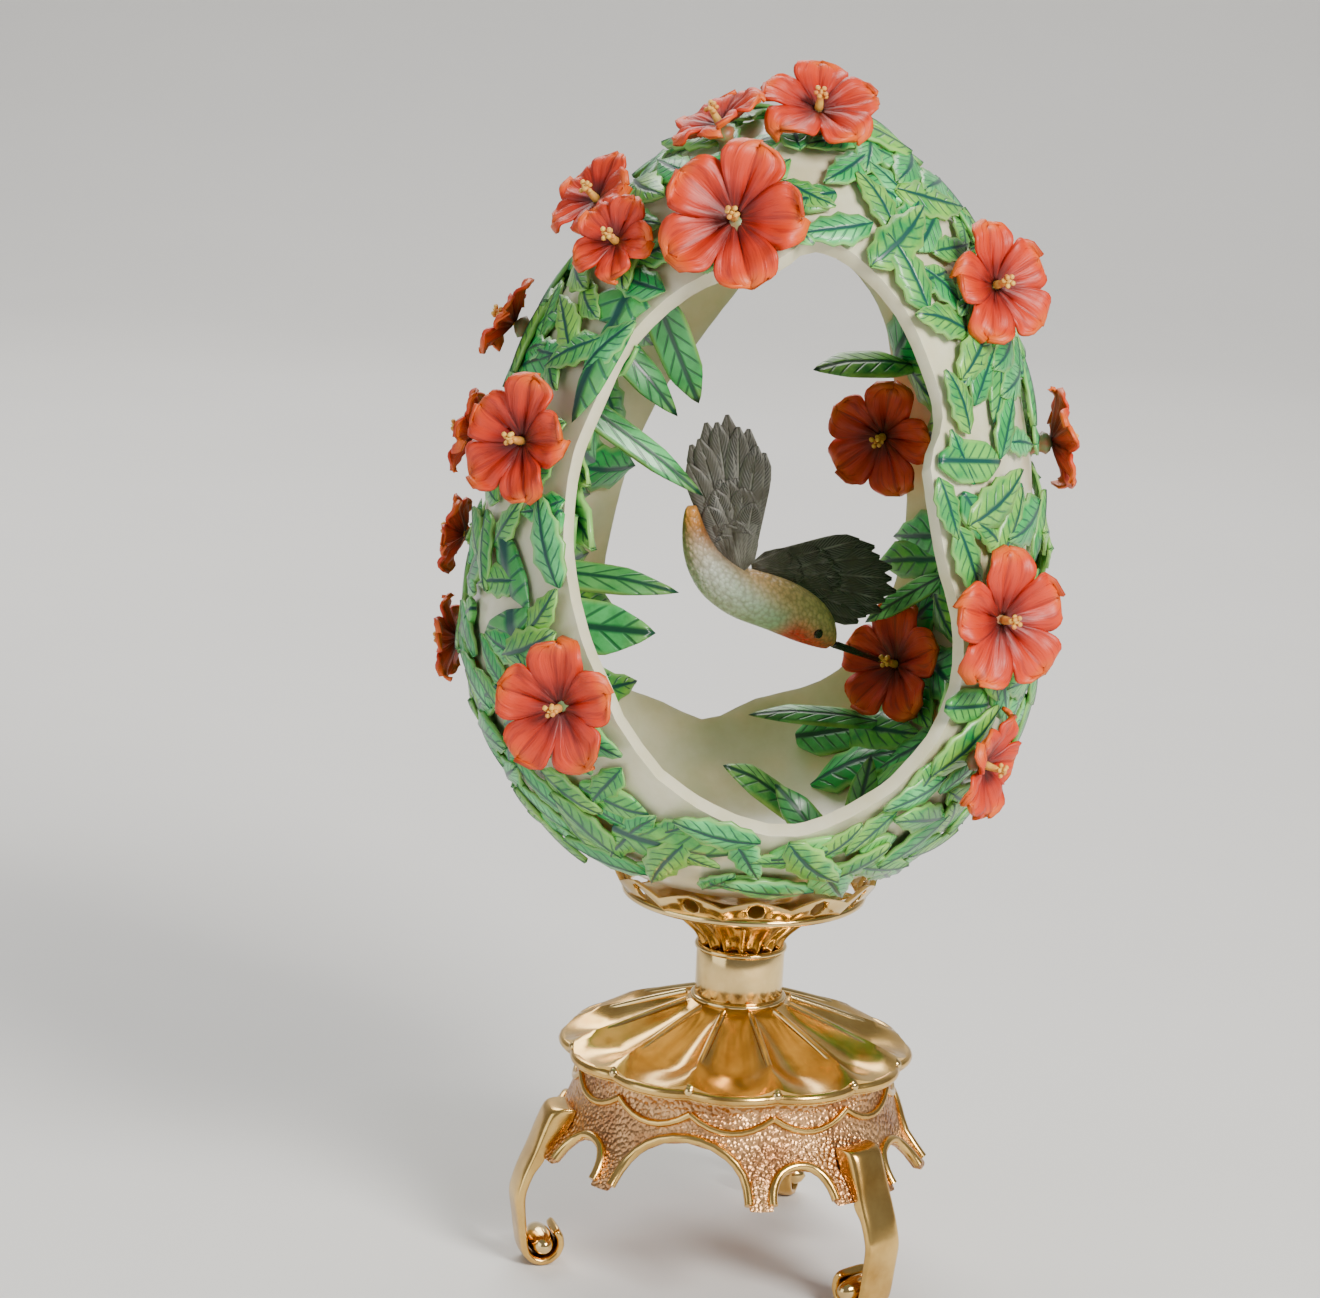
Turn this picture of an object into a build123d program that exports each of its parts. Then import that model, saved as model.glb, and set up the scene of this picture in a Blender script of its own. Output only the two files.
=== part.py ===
from build123d import *
import os
from math import cos, pi, radians, sin, sqrt, tan

# A decorative egg on a stand. Lengths are in millimetres and angles in degrees.
# +Z is up, and the origin lies on the floor under the middle of the stand.
# A turn is an angle round the upright axis, from the right-hand side (+X) towards the front (-Y).
# A rise is the angle of a place on the egg above its widest circle: 90 at the top, -90 at the bottom.

# Driving sizes of the egg
egg_radius = 35.0
egg_upper_height = 63.4
shell_wall = 1.8
egg_lean = 3.5
egg_shift = -1.0

# Driving sizes of the stand
stand_turn = 46.0
leg_count = 3
plate_height = 27.2
dome_radius = 21.1
dome_lobe_rise = 1.1
dome_height = 7.3
dome_lobe_count = 12
collar_radius = 5.6
collar_length = 6.8
cup_height = 7.5
gallery_height = 3.4
gallery_radius = 17.2

# Sizes of the small pieces
cut_overrun = 1.0
running_gap = 0.1
seat_gap = 0.3
rod_radius = 1.5


def cosd(angle):
    return cos(radians(angle))


def sind(angle):
    return sin(radians(angle))


def way(turn, rise=0.0):
    """The unit direction at a turn round the axis and a rise above the level."""
    return Vector(cosd(rise) * cosd(turn), -cosd(rise) * sind(turn), sind(rise))


def straightened(curve, count):
    """Evenly spaced points along a curve, for an edge made of short straight steps."""
    return [curve @ (k / count) for k in range(count + 1)]


def tube(outer, inner, low, high):
    """A plain ring between two heights."""
    outline = Polyline((inner, 0, low), (outer, 0, low), (outer, 0, high), (inner, 0, high), close=True)
    return revolve(make_face(outline), axis=Axis.Z)


def around(count, first=0.0):
    """Evenly spaced turns, starting at the first."""
    return [first + 360 * k / count for k in range(count)]


def ring(centre, side, up, corners):
    """The corners of a flat ring, each given along two directions from its centre."""
    return [centre + side * a + up * b for a, b in corners]


def level_ring(radius, height, count, first=0.0):
    """The corners of a regular ring that lies level round the axis."""
    return [way(turn) * radius + Vector(0, 0, height) for turn in around(count, first)]


def skin(rings, is_closed=False):
    """A solid of flat facets over a row of rings of corners.

    An end may be a single point. A closed row comes back to its first ring, as a hollow turned form does.
    """
    facets = []
    for near, far in zip(rings, rings[1:] + rings[:1] if is_closed else rings[1:]):
        for k in range(max(len(near), len(far))):
            a, b = near[k % len(near)], near[(k + 1) % len(near)]
            c, d = far[(k + 1) % len(far)], far[k % len(far)]
            if len(near) > 1:
                facets.append((a, b, d))
            if len(far) > 1:
                facets.append((b, c, d))
    if not is_closed:
        facets += [end for end in (rings[0], rings[-1]) if len(end) > 1]
    return Solid(Shell([Face(Wire.make_polygon(corners, close=True)) for corners in facets]))


def turned(outline, sides, is_closed=True):
    """A many-sided turned form from an outline of (radius, height) points."""
    rings = [level_ring(radius, height, sides) if radius else [Vector(0, 0, height)]
             for radius, height in outline]
    return skin(rings, is_closed)


# Stand, from the floor upwards

skirt_top_radius = 19.6
skirt_edge_radius = 25.3
skirt_depth = 12.6
skirt_drop_shares = (0.0, 0.34, 0.68, 1.0)
skirt_flare_shares = (0.0, 0.12, 0.42, 1.0)
skirt_wall = 1.2
plate_thickness = 1.4
wide_arch_half_width = 9.2
wide_arch_rise = 6.8
small_arch_half_width = 4.3
small_arch_rise = 4.0
small_arch_turn = 38.3
skirt_sides = 36
arch_step_count = 8


def facing_plane(turn):
    """The upright plane through the axis that faces out at a turn, with its y up."""
    return Plane(origin=(0, 0, 0), x_dir=(sind(turn), cosd(turn), 0), z_dir=way(turn))


def skirt_line(inset):
    """The flared line of the skirt as (radius, height) points, moved inwards by an inset."""
    flare = skirt_edge_radius - skirt_top_radius
    return [(skirt_top_radius + flare * out - inset, plate_height - skirt_depth * down)
            for out, down in zip(skirt_flare_shares, skirt_drop_shares)]


def arch(turn, half_width, rise):
    """The body cut out of the skirt under one arch, on one side of the axis only."""
    foot = plate_height - skirt_depth
    left, top, right = (-half_width, foot), (0, foot + rise), (half_width, foot)
    bow = straightened(ThreePointArc(left, top, right), arch_step_count)
    low_right, low_left = (half_width, foot - cut_overrun), (-half_width, foot - cut_overrun)
    outline = Polyline(*bow, low_right, low_left, close=True)
    return extrude(facing_plane(turn) * make_face(outline), amount=skirt_edge_radius + cut_overrun)


def base_skirt():
    """The flared apron with its arches and prongs, closed above by a flat plate with a hole."""
    apron = Part() + turned(skirt_line(skirt_wall) + skirt_line(0)[::-1], skirt_sides)
    for turn in around(leg_count, stand_turn + 180 / leg_count):
        apron -= arch(turn, wide_arch_half_width, wide_arch_rise)
        apron -= arch(turn - small_arch_turn, small_arch_half_width, small_arch_rise)
        apron -= arch(turn + small_arch_turn, small_arch_half_width, small_arch_rise)
    plate = tube(skirt_top_radius - skirt_wall / 2, rod_radius + running_gap,
                 plate_height - plate_thickness, plate_height)
    return apron + plate


leg_width = 5.5
leg_top_thickness = 1.9
leg_bow_reach = 3.3
leg_bow_height = 9.0
leg_bow_share = 0.8
leg_shoulder_reach = 1.1
leg_shoulder_drop = 11.8
leg_root_drop = 6.2
leg_root_inset = 0.9
leg_bow = skirt_edge_radius + leg_bow_reach
leg_shoulder = skirt_edge_radius + leg_shoulder_reach
leg_shoulder_height = plate_height - leg_shoulder_drop
leg_root_height = plate_height - leg_root_drop
leg_root_place = skirt_edge_radius - leg_root_inset
button_radius = 1.8
button_inset = 0.7
button_place = skirt_edge_radius - button_inset
scroll_thickness = 1.2
scroll_end_angle = 130.0
foot_flat = 0.12
scroll_step_count = 8
bow_step_count = 6
button_overhang = 0.5
button_gap = 0.1
button_sides = 12


def leg_outline():
    """The side view of one leg: a bowed bar that rolls under itself into a scroll."""
    outer_radius = button_radius + scroll_thickness
    eye = Vector(button_place, outer_radius - foot_flat)
    end_way = Vector(cosd(scroll_end_angle), sind(scroll_end_angle))
    under = Vector(0, -1)
    inner = ThreePointArc(eye + end_way * button_radius, eye + under * button_radius,
                          eye + Vector(button_radius, 0))
    outer = ThreePointArc(eye + end_way * outer_radius, eye + under * outer_radius,
                          eye + Vector(outer_radius, 0))
    front = Spline(outer @ 1, (leg_bow, leg_bow_height), (leg_shoulder, leg_shoulder_height),
                   (leg_root_place, leg_root_height), tangents=[(0, 1), (-1, 2)])
    back = Spline(inner @ 1, (leg_bow - leg_top_thickness * leg_bow_share, leg_bow_height),
                  (leg_shoulder - leg_top_thickness, leg_shoulder_height - leg_top_thickness / 4),
                  (leg_root_place - leg_top_thickness * 2, leg_root_height),
                  tangents=[(0, 1), (-1, 2)])
    points = straightened(inner, scroll_step_count)[::-1] + straightened(outer, scroll_step_count)
    points += straightened(front, bow_step_count)[1:] + straightened(back, bow_step_count)[:0:-1]
    return make_face(Polyline(*points, close=True))


def upright_plane(turn):
    """The plane through the axis at a turn, with its x outwards and its y up."""
    out = way(turn)
    return Plane(origin=(0, 0, 0), x_dir=out, z_dir=out.cross(Vector(0, 0, 1)))


def skirt_core():
    """All that lies inside the outer face of the skirt, used to cut the legs flush with it."""
    foot = plate_height - skirt_depth
    outline = [(0, foot)] + skirt_line(0)[::-1] + [(0, plate_height)]
    return turned(outline, skirt_sides, is_closed=False)


def leg(turn, core):
    """One scrolled leg, soldered to the outside of the skirt, flat under its scroll."""
    bar = extrude(upright_plane(turn) * leg_outline(), amount=leg_width / 2, both=True)
    floor_cut = Pos(0, 0, -leg_bow) * Box(4 * leg_bow, 4 * leg_bow, 2 * leg_bow)
    return bar - core - floor_cut


def foot_button(turn):
    """The turned button that fills the eye of a scroll and stands a little proud of it."""
    plane = upright_plane(turn)
    eye = (button_place, button_radius + scroll_thickness - foot_flat)
    rings = []
    half_length = leg_width / 2 + button_overhang
    body, crown = button_radius - button_gap, button_radius - button_overhang
    for along, radius in ((-half_length, crown), (-leg_width / 2, body), (leg_width / 2, body),
                          (half_length, crown)):
        corners = [(eye[0] + radius * cosd(a), eye[1] + radius * sind(a)) for a in around(button_sides)]
        rings.append(ring(plane.z_dir * along, plane.x_dir, plane.y_dir, corners))
    return skin(rings)


lip_height = 1.0
flute_depth = 1.2
dome_crown_overhang = 0.7
lobe_step_count = 6
dome_ring_shares = (0.0, 0.5, 1.0)


def dome_ring(share, is_base=False):
    """A ring of the dome: lobed and fluted at the rim (share 0), plain and round at the top (share 1)."""
    crown = collar_radius + dome_crown_overhang
    corners = []
    for k, turn in enumerate(around(dome_lobe_count * lobe_step_count, stand_turn)):
        across = 2 * (k % lobe_step_count) / lobe_step_count - 1
        bulge = 1 - across ** 2
        rim = dome_radius + dome_lobe_rise * bulge
        radius = rim + (crown - rim) * share
        slope = lip_height + (dome_height - lip_height) * share
        height = 0 if is_base else slope + flute_depth * (1 - share) * (1 - bulge)
        corners.append(way(turn) * radius + Vector(0, 0, plate_height + height))
    return corners


def dome():
    """The fluted dome: troughs between ridges that end in the cusps of a scalloped lip."""
    body = skin([dome_ring(0, is_base=True)] + [dome_ring(share) for share in dome_ring_shares])
    bore = Pos(0, 0, plate_height) * Cylinder(rod_radius + running_gap, 4 * dome_height)
    return Part() + body - bore


def collar():
    """The plain tube between the dome and the cup."""
    low = plate_height + dome_height
    return tube(collar_radius, rod_radius + running_gap, low, low + collar_length)


cup_flute_count = 16
cup_flute_share = 0.90
cup_trough_shares = (0.35, 0.65)
cup_sides = 32
cup_height_shares = (0.0, 0.3, 0.68, 1.0)
cup_radius_shares = (0.0, 0.12, 0.46, 1.0)
cup_foot_radius = 5.2
cup_rim_radius = 14.8
cup_floor_gap = 1.0
dish_angles = (0, 8, 16)
cup_bottom = plate_height + dome_height + collar_length
cup_top = cup_bottom + cup_height
gallery_wall = 0.8
gallery_top = cup_top + gallery_height
gallery_lip = gallery_radius - gallery_wall
nearest_lip = gallery_lip - abs(egg_shift)
egg_height = gallery_top + sqrt((egg_radius + seat_gap) ** 2 - nearest_lip ** 2)


def fluted_ring(radius, height):
    """A level ring with a ridge and two trough corners for each flute of the cup."""
    step = 360 / cup_flute_count
    corners = []
    for turn in around(cup_flute_count):
        corners.append(way(turn) * radius)
        for share in cup_trough_shares:
            corners.append(way(turn + step * share) * (radius * cup_flute_share))
    return [corner + Vector(0, 0, height) for corner in corners]


def cup():
    """The fluted cup, dished above to clear the egg, with a blind bore for the rod."""
    spread = cup_rim_radius - cup_foot_radius
    rings = [fluted_ring(cup_foot_radius + spread * r, cup_bottom + cup_height * h)
             for h, r in zip(cup_height_shares, cup_radius_shares)]
    dish_line = [((egg_radius + cup_floor_gap) * sind(a), egg_height - (egg_radius + cup_floor_gap) * cosd(a))
                 for a in dish_angles]
    dish = turned(dish_line + [(dish_line[-1][0], egg_height), (0, egg_height)], cup_sides, is_closed=False)
    bore = Pos(0, 0, cup_bottom) * Cylinder(rod_radius + running_gap, 2 * rod_depth)
    return Part() + skin(rings) - dish - bore


petal_hole_radius = 1.1
petal_notch_depth = 1.3
petal_hole_share = 0.52
petal_hole_sides = 8
petal_shoulder_shares = (0.6, 0.3)
petal_step_count = 3
gallery_petal_count = 12
gallery_first_turn = 25.0


def gallery_notch():
    """What is cut away between two petals: two round shoulders that meet in a dip."""
    half_pitch = gallery_radius * tan(pi / gallery_petal_count)
    crown, dip = gallery_top, gallery_top - petal_notch_depth
    across, down = half_pitch * petal_shoulder_shares[0], petal_notch_depth * petal_shoulder_shares[1]
    left = ThreePointArc((-half_pitch, crown), (-across, crown - down), (0, dip))
    right = ThreePointArc((0, dip), (across, crown - down), (half_pitch, crown))
    edge = straightened(left, petal_step_count) + straightened(right, petal_step_count)[1:]
    over = crown + cut_overrun
    return make_face(Polyline(*edge, (half_pitch, over), (-half_pitch, over), close=True))


def gallery():
    """The pierced band of rounded petals that stands on the cup and holds the egg."""
    corner_share = 1 / cosd(180 / gallery_petal_count)
    first = gallery_first_turn + 180 / gallery_petal_count
    faces = []
    for inset in (0, gallery_wall):
        faces.append(skin([
            level_ring((radius - inset) * corner_share, height, gallery_petal_count, first)
            for radius, height in ((cup_rim_radius, cup_top), (gallery_radius, gallery_top))]))
    band = Part() + faces[0] - faces[1]
    for turn in around(gallery_petal_count, gallery_first_turn):
        hole = RegularPolygon(petal_hole_radius, petal_hole_sides)
        hole_height = cup_top + gallery_height * petal_hole_share
        band -= extrude(facing_plane(turn) * Pos(0, hole_height) * hole, amount=2 * gallery_radius)
        notch = facing_plane(turn + 180 / gallery_petal_count) * gallery_notch()
        band -= extrude(notch, amount=2 * gallery_radius)
    return band


washer_radius = 3.4
washer_thickness = 0.6
nut_width = 5.5
nut_sides = 6
nut_height = 2.4
rod_tail = 1.2
rod_depth = 3.6


def washer():
    high = plate_height - plate_thickness
    return tube(washer_radius, rod_radius + running_gap, high - washer_thickness, high)


def nut():
    """The hexagon nut that clamps the stand together from below."""
    low = plate_height - plate_thickness - washer_thickness - nut_height
    hexagon = RegularPolygon(nut_width / 2, nut_sides, major_radius=False)
    blank = Pos(0, 0, low) * extrude(hexagon, amount=nut_height)
    return blank - Pos(0, 0, low) * Cylinder(rod_radius, 4 * nut_height)


def tie_rod():
    """The rod from the nut up into the cup."""
    low = plate_height - plate_thickness - washer_thickness - nut_height - rod_tail
    high = cup_bottom + rod_depth - running_gap
    return Pos(0, 0, low) * Cylinder(rod_radius, high - low, align=(Align.CENTER, Align.CENTER, Align.MIN))


# Egg shell. The egg is modelled round the middle of its widest circle, and set leaning in the cup last.

def egg_point(turn, rise, inset=0.0):
    """A place on the shell's outer face, or on the face an inset below it."""
    radius = egg_radius - inset
    height = (egg_upper_height if rise > 0 else egg_radius) - inset
    level = way(turn) * (radius * cosd(rise))
    return level + Vector(0, 0, height * sind(rise))


def egg_slope(point, inset=0.0):
    """How far a point lies from the middle as a share of the shell, and how fast that grows there."""
    radius = egg_radius - inset
    height = (egg_upper_height if point.Z > 0 else egg_radius) - inset
    share = sqrt((point.X ** 2 + point.Y ** 2) / radius ** 2 + point.Z ** 2 / height ** 2)
    gradient = Vector(point.X / radius ** 2, point.Y / radius ** 2, point.Z / height ** 2) / share
    return share, gradient


def height_over(point, inset=0.0):
    """The height of a point over a face of the shell, negative inside it."""
    share, gradient = egg_slope(point, inset)
    return (share - 1) / gradient.length


def egg_normal(point, inset=0.0):
    return egg_slope(point, inset)[1].normalized()


def hollow_point(shares):
    """A place inside the egg, in shares of the radius of the hollow."""
    return Vector(*shares[:3]) * (egg_radius - shell_wall)


egg_band_count = 16
egg_sides = 40


def egg_solid(inset=0.0):
    """The full egg, half a ball below and half an ellipsoid above, in narrow flat facets."""
    outline = [(0, inset - egg_radius)]
    for k in range(1, egg_band_count):
        point = egg_point(0, 180 * k / egg_band_count - 90, inset)
        outline.append((point.X, point.Z))
    return turned(outline + [(0, egg_upper_height - inset)], egg_sides, is_closed=False)


window_eye_share = 0.16
rim_step_count = 64
window_near_share = 0.12
window_far_share = 1.1
front_window_turn = 92.0
front_rim_places = [
    (92, 53), (79, 55), (66, 51), (57, 45), (51, 37), (50, 30), (54, 26), (52, 19), (49, 13), (45, 8),
    (43, 1), (46, -9), (52, -19), (62, -28), (74, -34), (88, -33), (102, -27), (114, -16), (121, -5),
    (129, 4), (135, 12), (138, 20), (136, 29), (132, 38), (122, 45), (107, 50),
]
back_window_turn = 269.0
back_rim_places = [
    (272, 46), (286, 45), (296, 40), (302, 27), (306, 12), (305, 0), (301, -12), (294, -23), (286, -28),
    (273, -33), (262, -38), (250, -34), (240, -31), (233, -25), (234, -12), (236, 3), (240, 16),
    (249, 28), (258, 38),
]


def window(turn, rim_places):
    """A cone from inside the egg through the rim of one window."""
    out = way(turn)
    eye = Vector(0, 0, egg_radius * window_eye_share)
    rays = [egg_point(*place) - eye for place in rim_places]
    rings = []
    for share in (window_near_share, window_far_share):
        size = egg_radius * share
        rim = Spline(*[eye + ray * (size / ray.dot(out)) for ray in rays], periodic=True)
        rings.append([rim @ (k / rim_step_count) for k in range(rim_step_count)])
    return skin(rings)


def egg_shell():
    shell = Part() + egg_solid() - egg_solid(shell_wall)
    shell -= window(front_window_turn, front_rim_places)
    shell -= window(back_window_turn, back_rim_places)
    return shell


# Leaves

leaf_thickness = 0.7
leaf_rib = 0.3
leaf_lift = 0.25
inner_lift = 0.3
root_lift = 0.5
leaf_width = 5.0
leaf_station_shares = (0.0, 0.28, 0.68)
leaf_width_shares = (0.3, 1.0, 0.9)
leaf_direction_steps = 100


def leaf_ring(centre, side, up, half_width, low=0.0, low_edge=0.0):
    """The five-cornered section of a leaf: flat below, with a raised rib above."""
    high = low + leaf_thickness
    edge = low_edge
    return ring(centre, side, up, [
        (-half_width, edge), (half_width, edge), (half_width, edge + leaf_thickness),
        (0, high + leaf_rib), (-half_width, edge + leaf_thickness)])


def relief_leaf(base, tip, width_share, inset=0.0):
    """A leaf that lies on the shell from one place to another, each a turn and a rise."""
    facing = -1 if inset else 1
    lift = inner_lift if inset else leaf_lift
    rings = []
    for share, width in zip(leaf_station_shares, leaf_width_shares):
        turn = base[0] + (tip[0] - base[0]) * share
        rise = base[1] + (tip[1] - base[1]) * share
        spot = egg_point(turn, rise, inset)
        turn_step = (tip[0] - base[0]) / leaf_direction_steps
        rise_step = (tip[1] - base[1]) / leaf_direction_steps
        ahead = egg_point(turn + turn_step, rise + rise_step, inset)
        up = egg_normal(spot, inset) * facing
        side = up.cross(ahead - spot).normalized()
        half_width = leaf_width * width_share * width / 2
        drop = -height_over(spot + side * half_width, inset) * facing
        rings.append(leaf_ring(spot, side, up, half_width, lift, lift + drop))
    end = egg_point(*tip, inset)
    rings.append([end + egg_normal(end, inset) * facing * (lift + leaf_thickness / 2)])
    return skin(rings)


front_left_leaves = [
    ((179, 30), (161, 38), 0.9), ((174, 27), (146, 33), 1.0), ((149, 39), (128, 41), 0.9),
    ((134, 41), (140, 24), 0.9), ((166, 64), (150, 57), 0.8),
    ((176, 13), (166, 19), 0.8), ((172, 4), (180, 11), 0.9), ((170, 2), (160, 9), 0.8),
    ((164, 0), (176, -6), 0.8), ((140, 3), (158, -5), 0.9), ((156, 10), (140, 3), 0.9),
    ((136, 15), (141, 10), 0.7),
]
lower_left_leaves = [
    ((164, -21), (150, -12), 0.8), ((175, -10), (172, -24), 0.9), ((170, -30), (158, -38), 0.9),
    ((134, -31), (130, -46), 0.9), ((166, -43), (146, -50), 0.9), ((182, -34), (178, -48), 0.8),
    ((190, -32), (200, -44), 0.9),
]
wreath_leaves = [
    ((127, -28), (109, -32), 0.9), ((121, -38), (98, -46), 1.1), ((112, -36), (88, -40), 0.9),
    ((80, -40), (58, -34), 1.0), ((95, -52), (64, -52), 0.9), ((56, -38), (46, -34), 0.8),
    ((50, -24), (47, -14), 0.8), ((66, -46), (42, -45), 0.9),
]
front_right_leaves = [
    ((31, 59), (50, 53), 0.9), ((54, 48), (37, 50), 0.7), ((33, 40), (45, 34), 0.7),
    ((22, 40), (34, 29), 0.8), ((53, 26), (31, 25), 1.1), ((47, 22), (38, 16), 0.8),
    ((25, 22), (26, 12), 0.7), ((48, -3), (33, -4), 0.9),
]
crown_leaves = [
    ((77, 63), (96, 60), 0.8), ((64, 66), (44, 61), 0.9), ((40, 73), (20, 66), 0.8),
    ((110, 68), (130, 62), 0.8),
]
right_side_leaves = [
    ((12, 52), (0, 42), 1.0), ((10, 34), (-4, 38), 0.9), ((8, 8), (0, -4), 1.0),
    ((18, 0), (24, -12), 0.9), ((-8, 4), (-16, 14), 0.9), ((-10, -12), (-22, -4), 1.0),
    ((12, -20), (4, -32), 1.0), ((28, -26), (20, -38), 0.9), ((-10, -26), (-20, -38), 1.0),
    ((-28, 22), (-34, 34), 1.0), ((-32, 6), (-42, 14), 0.9), ((-36, -14), (-46, -24), 0.9),
    ((-42, 38), (-30, 48), 0.9),
]
left_side_leaves = [
    ((206, 42), (218, 32), 1.0), ((200, 26), (210, 18), 0.9), ((214, 14), (224, 24), 0.9),
    ((212, -2), (222, 8), 1.0), ((208, -16), (218, -8), 0.9), ((204, -28), (216, -34), 1.0),
    ((222, -36), (236, -42), 0.9), ((228, 36), (240, 42), 0.9),
]
back_leaves = [
    ((250, -44), (268, -46), 1.0), ((276, -42), (294, -36), 1.0), ((300, -32), (310, -40), 0.9),
    ((262, 54), (280, 54), 0.9), ((290, 56), (306, 50), 0.9), ((236, 54), (250, 60), 0.8),
]


def leaf_zone(rows, inset=0.0):
    """The relief leaves of one zone of the shell, as one cast where they overlap."""
    return Part() + [relief_leaf(*row, inset=inset) for row in rows]


inner_wall_leaves = [
    ((138, -2), (146, 26), 1.1), ((290, -40), (312, -32), 1.3), ((60, -44), (98, -42), 1.1),
    ((318, 30), (322, 8), 1.0), ((20, -36), (-10, -20), 1.6),
]


def free_leaf(root, tip, sag_share, width_share, flat_way):
    """A leaf that springs from the inner wall, straight out from a place near it, to a tip in the open."""
    near, end = hollow_point(root), hollow_point(tip)
    wall = near / egg_slope(near, shell_wall)[0]
    start = wall - egg_normal(wall, shell_wall) * root_lift
    along = end - start
    face = flat_way - along.normalized() * flat_way.dot(along.normalized())
    up = face.normalized()
    side = up.cross(along).normalized()
    rings = []
    for share, width in zip(leaf_station_shares, leaf_width_shares):
        bend = along.length * sag_share * 4 * share * (1 - share)
        centre = start + along * share + up * bend
        rings.append(leaf_ring(centre, side, up, leaf_width * width_share * width / 2))
    rings.append([end + up * (leaf_thickness / 2)])
    return skin(rings)


# Each row: root and tip as shares of the hollow's radius, bend, width, and the way the face looks.
free_leaf_shares = [
    ((-0.84, 0.20, 0.02), (-0.24, 0.06, 0.05), 0.06, 0.9, way(70, 40)),
    ((-0.85, -0.10, -0.06), (-0.32, -0.26, -0.03), -0.05, 1.5, way(95, 20)),
    ((-0.72, -0.46, -0.10), (-0.36, -0.24, -0.48), 0.03, 0.5, way(80, 20)),
    ((-0.46, -0.40, 1.16), (-0.28, -0.26, 0.84), 0.05, 1.0, way(90, 0)),
    ((-0.82, 0.02, 0.76), (-0.20, 0.04, 0.42), 0.03, 0.8, way(80, 40)),
    ((-0.70, 0.12, 0.98), (-0.34, 0.12, 0.70), 0.05, 0.9, way(70, 20)),
    ((0.52, 0.66, 0.86), (0.12, 0.44, 0.88), 0.06, 1.0, way(80, 60)),
    ((0.72, 0.56, 0.12), (0.46, 0.70, -0.14), 0.05, 0.6, way(110, 20)),
    ((0.60, 0.62, -0.53), (0.02, 0.42, -0.49), 0.05, 0.7, way(90, 60)),
    ((0.30, 0.34, -0.86), (-0.06, 0.16, -0.62), 0.06, 1.2, way(90, 60)),
    ((0.42, -0.22, -0.84), (0.14, -0.20, -0.56), 0.06, 0.9, way(90, 30)),
    ((0.46, -0.10, -0.84), (0.52, 0.02, -0.46), -0.06, 0.8, way(100, 10)),
]


# Flowers

flower_radius = 8.6
flower_lift = 4.2
petal_thickness = 0.8
petal_count = 5
petal_reach_shares = (1.0, 0.92, 0.98, 0.98, 0.92)
petal_station_shares = (0.12, 0.42, 0.78, 1.0)
petal_width_shares = (0.085, 0.29, 0.36, 0.15)
petal_height_shares = (-0.14, 0.06, 0.10, 0.02)
petal_crease_share = 0.06
petal_crease_growth = 2
petal_throat_share = 0.2
petal_slope_floor = 0.45
petal_air = 1.5
calyx_radius_share = 0.20
calyx_root_radius = 1.3
stamen_length = 2.6
stamen_radius = 0.6
stamen_tip_share = 0.8
stamen_sides = 6

# Each row: turn and rise of the seat, size share, turn and rise of the face, and spin of the petals.
outer_flower_places = [
    (84, 79, 0.95, 88, 56, 90), (110, 54, 1.12, 100, 22, 78), (141, 70, 0.74, 165, 55, 60),
    (168, 51, 0.76, 150, 38, 100), (143, 47, 0.68, 125, 26, 80), (184, 31, 0.66, 192, 26, 95),
    (147, 21, 0.96, 128, 12, 84), (186, 17, 0.66, 188, 10, 70), (126, -9, 1.0, 115, 2, 96),
    (194, -13, 0.66, 192, -8, 90), (196, 4, 0.62, 196, 6, 60), (28, 46, 0.92, 54, 22, 100),
    (351, 23, 0.78, 352, 12, 80), (40, 8, 1.05, 56, 8, 94), (38, -14, 0.84, 26, -6, 70),
    (244, 26, 0.7, 250, 20, 90), (228, -4, 0.66, 232, 0, 70), (227, -22, 0.6, 230, -16, 90),
]
inner_flower_places = [
    (303, 20, 0.92, 112, -8, 80), (315, -17, 0.94, 128, 16, 100),
]


def regular_ring(centre, side, up, radius, sides, first=0.0):
    corners = [(radius * cosd(a), radius * sind(a)) for a in around(sides, first)]
    return ring(centre, side, up, corners)


def petal(centre, face, along, length, size, inset, facing):
    """One petal: a creased blade that flares out of the throat and clears the shell."""
    side = face.cross(along)
    rings = []
    for reach, width, height in zip(petal_station_shares, petal_width_shares, petal_height_shares):
        half_width, rise = size * width, size * height
        crease = rise - size * petal_crease_share * min(1, reach * petal_crease_growth)
        section = [(-half_width, rise, petal_thickness), (0, crease, petal_thickness),
                   (half_width, rise, petal_thickness), (0, crease - petal_thickness, 0)]
        corners = []
        for across, over, stand in section:
            corner = centre + along * (length * reach) + side * across + face * over
            need = petal_air + stand
            lack = need - height_over(corner, inset) * facing
            slope = max(petal_slope_floor, face.dot(egg_normal(corner, inset) * facing))
            corners.append(corner + face * (max(0, lack) / slope if reach > petal_throat_share else 0))
        rings.append(corners)
    return skin(rings)


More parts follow.
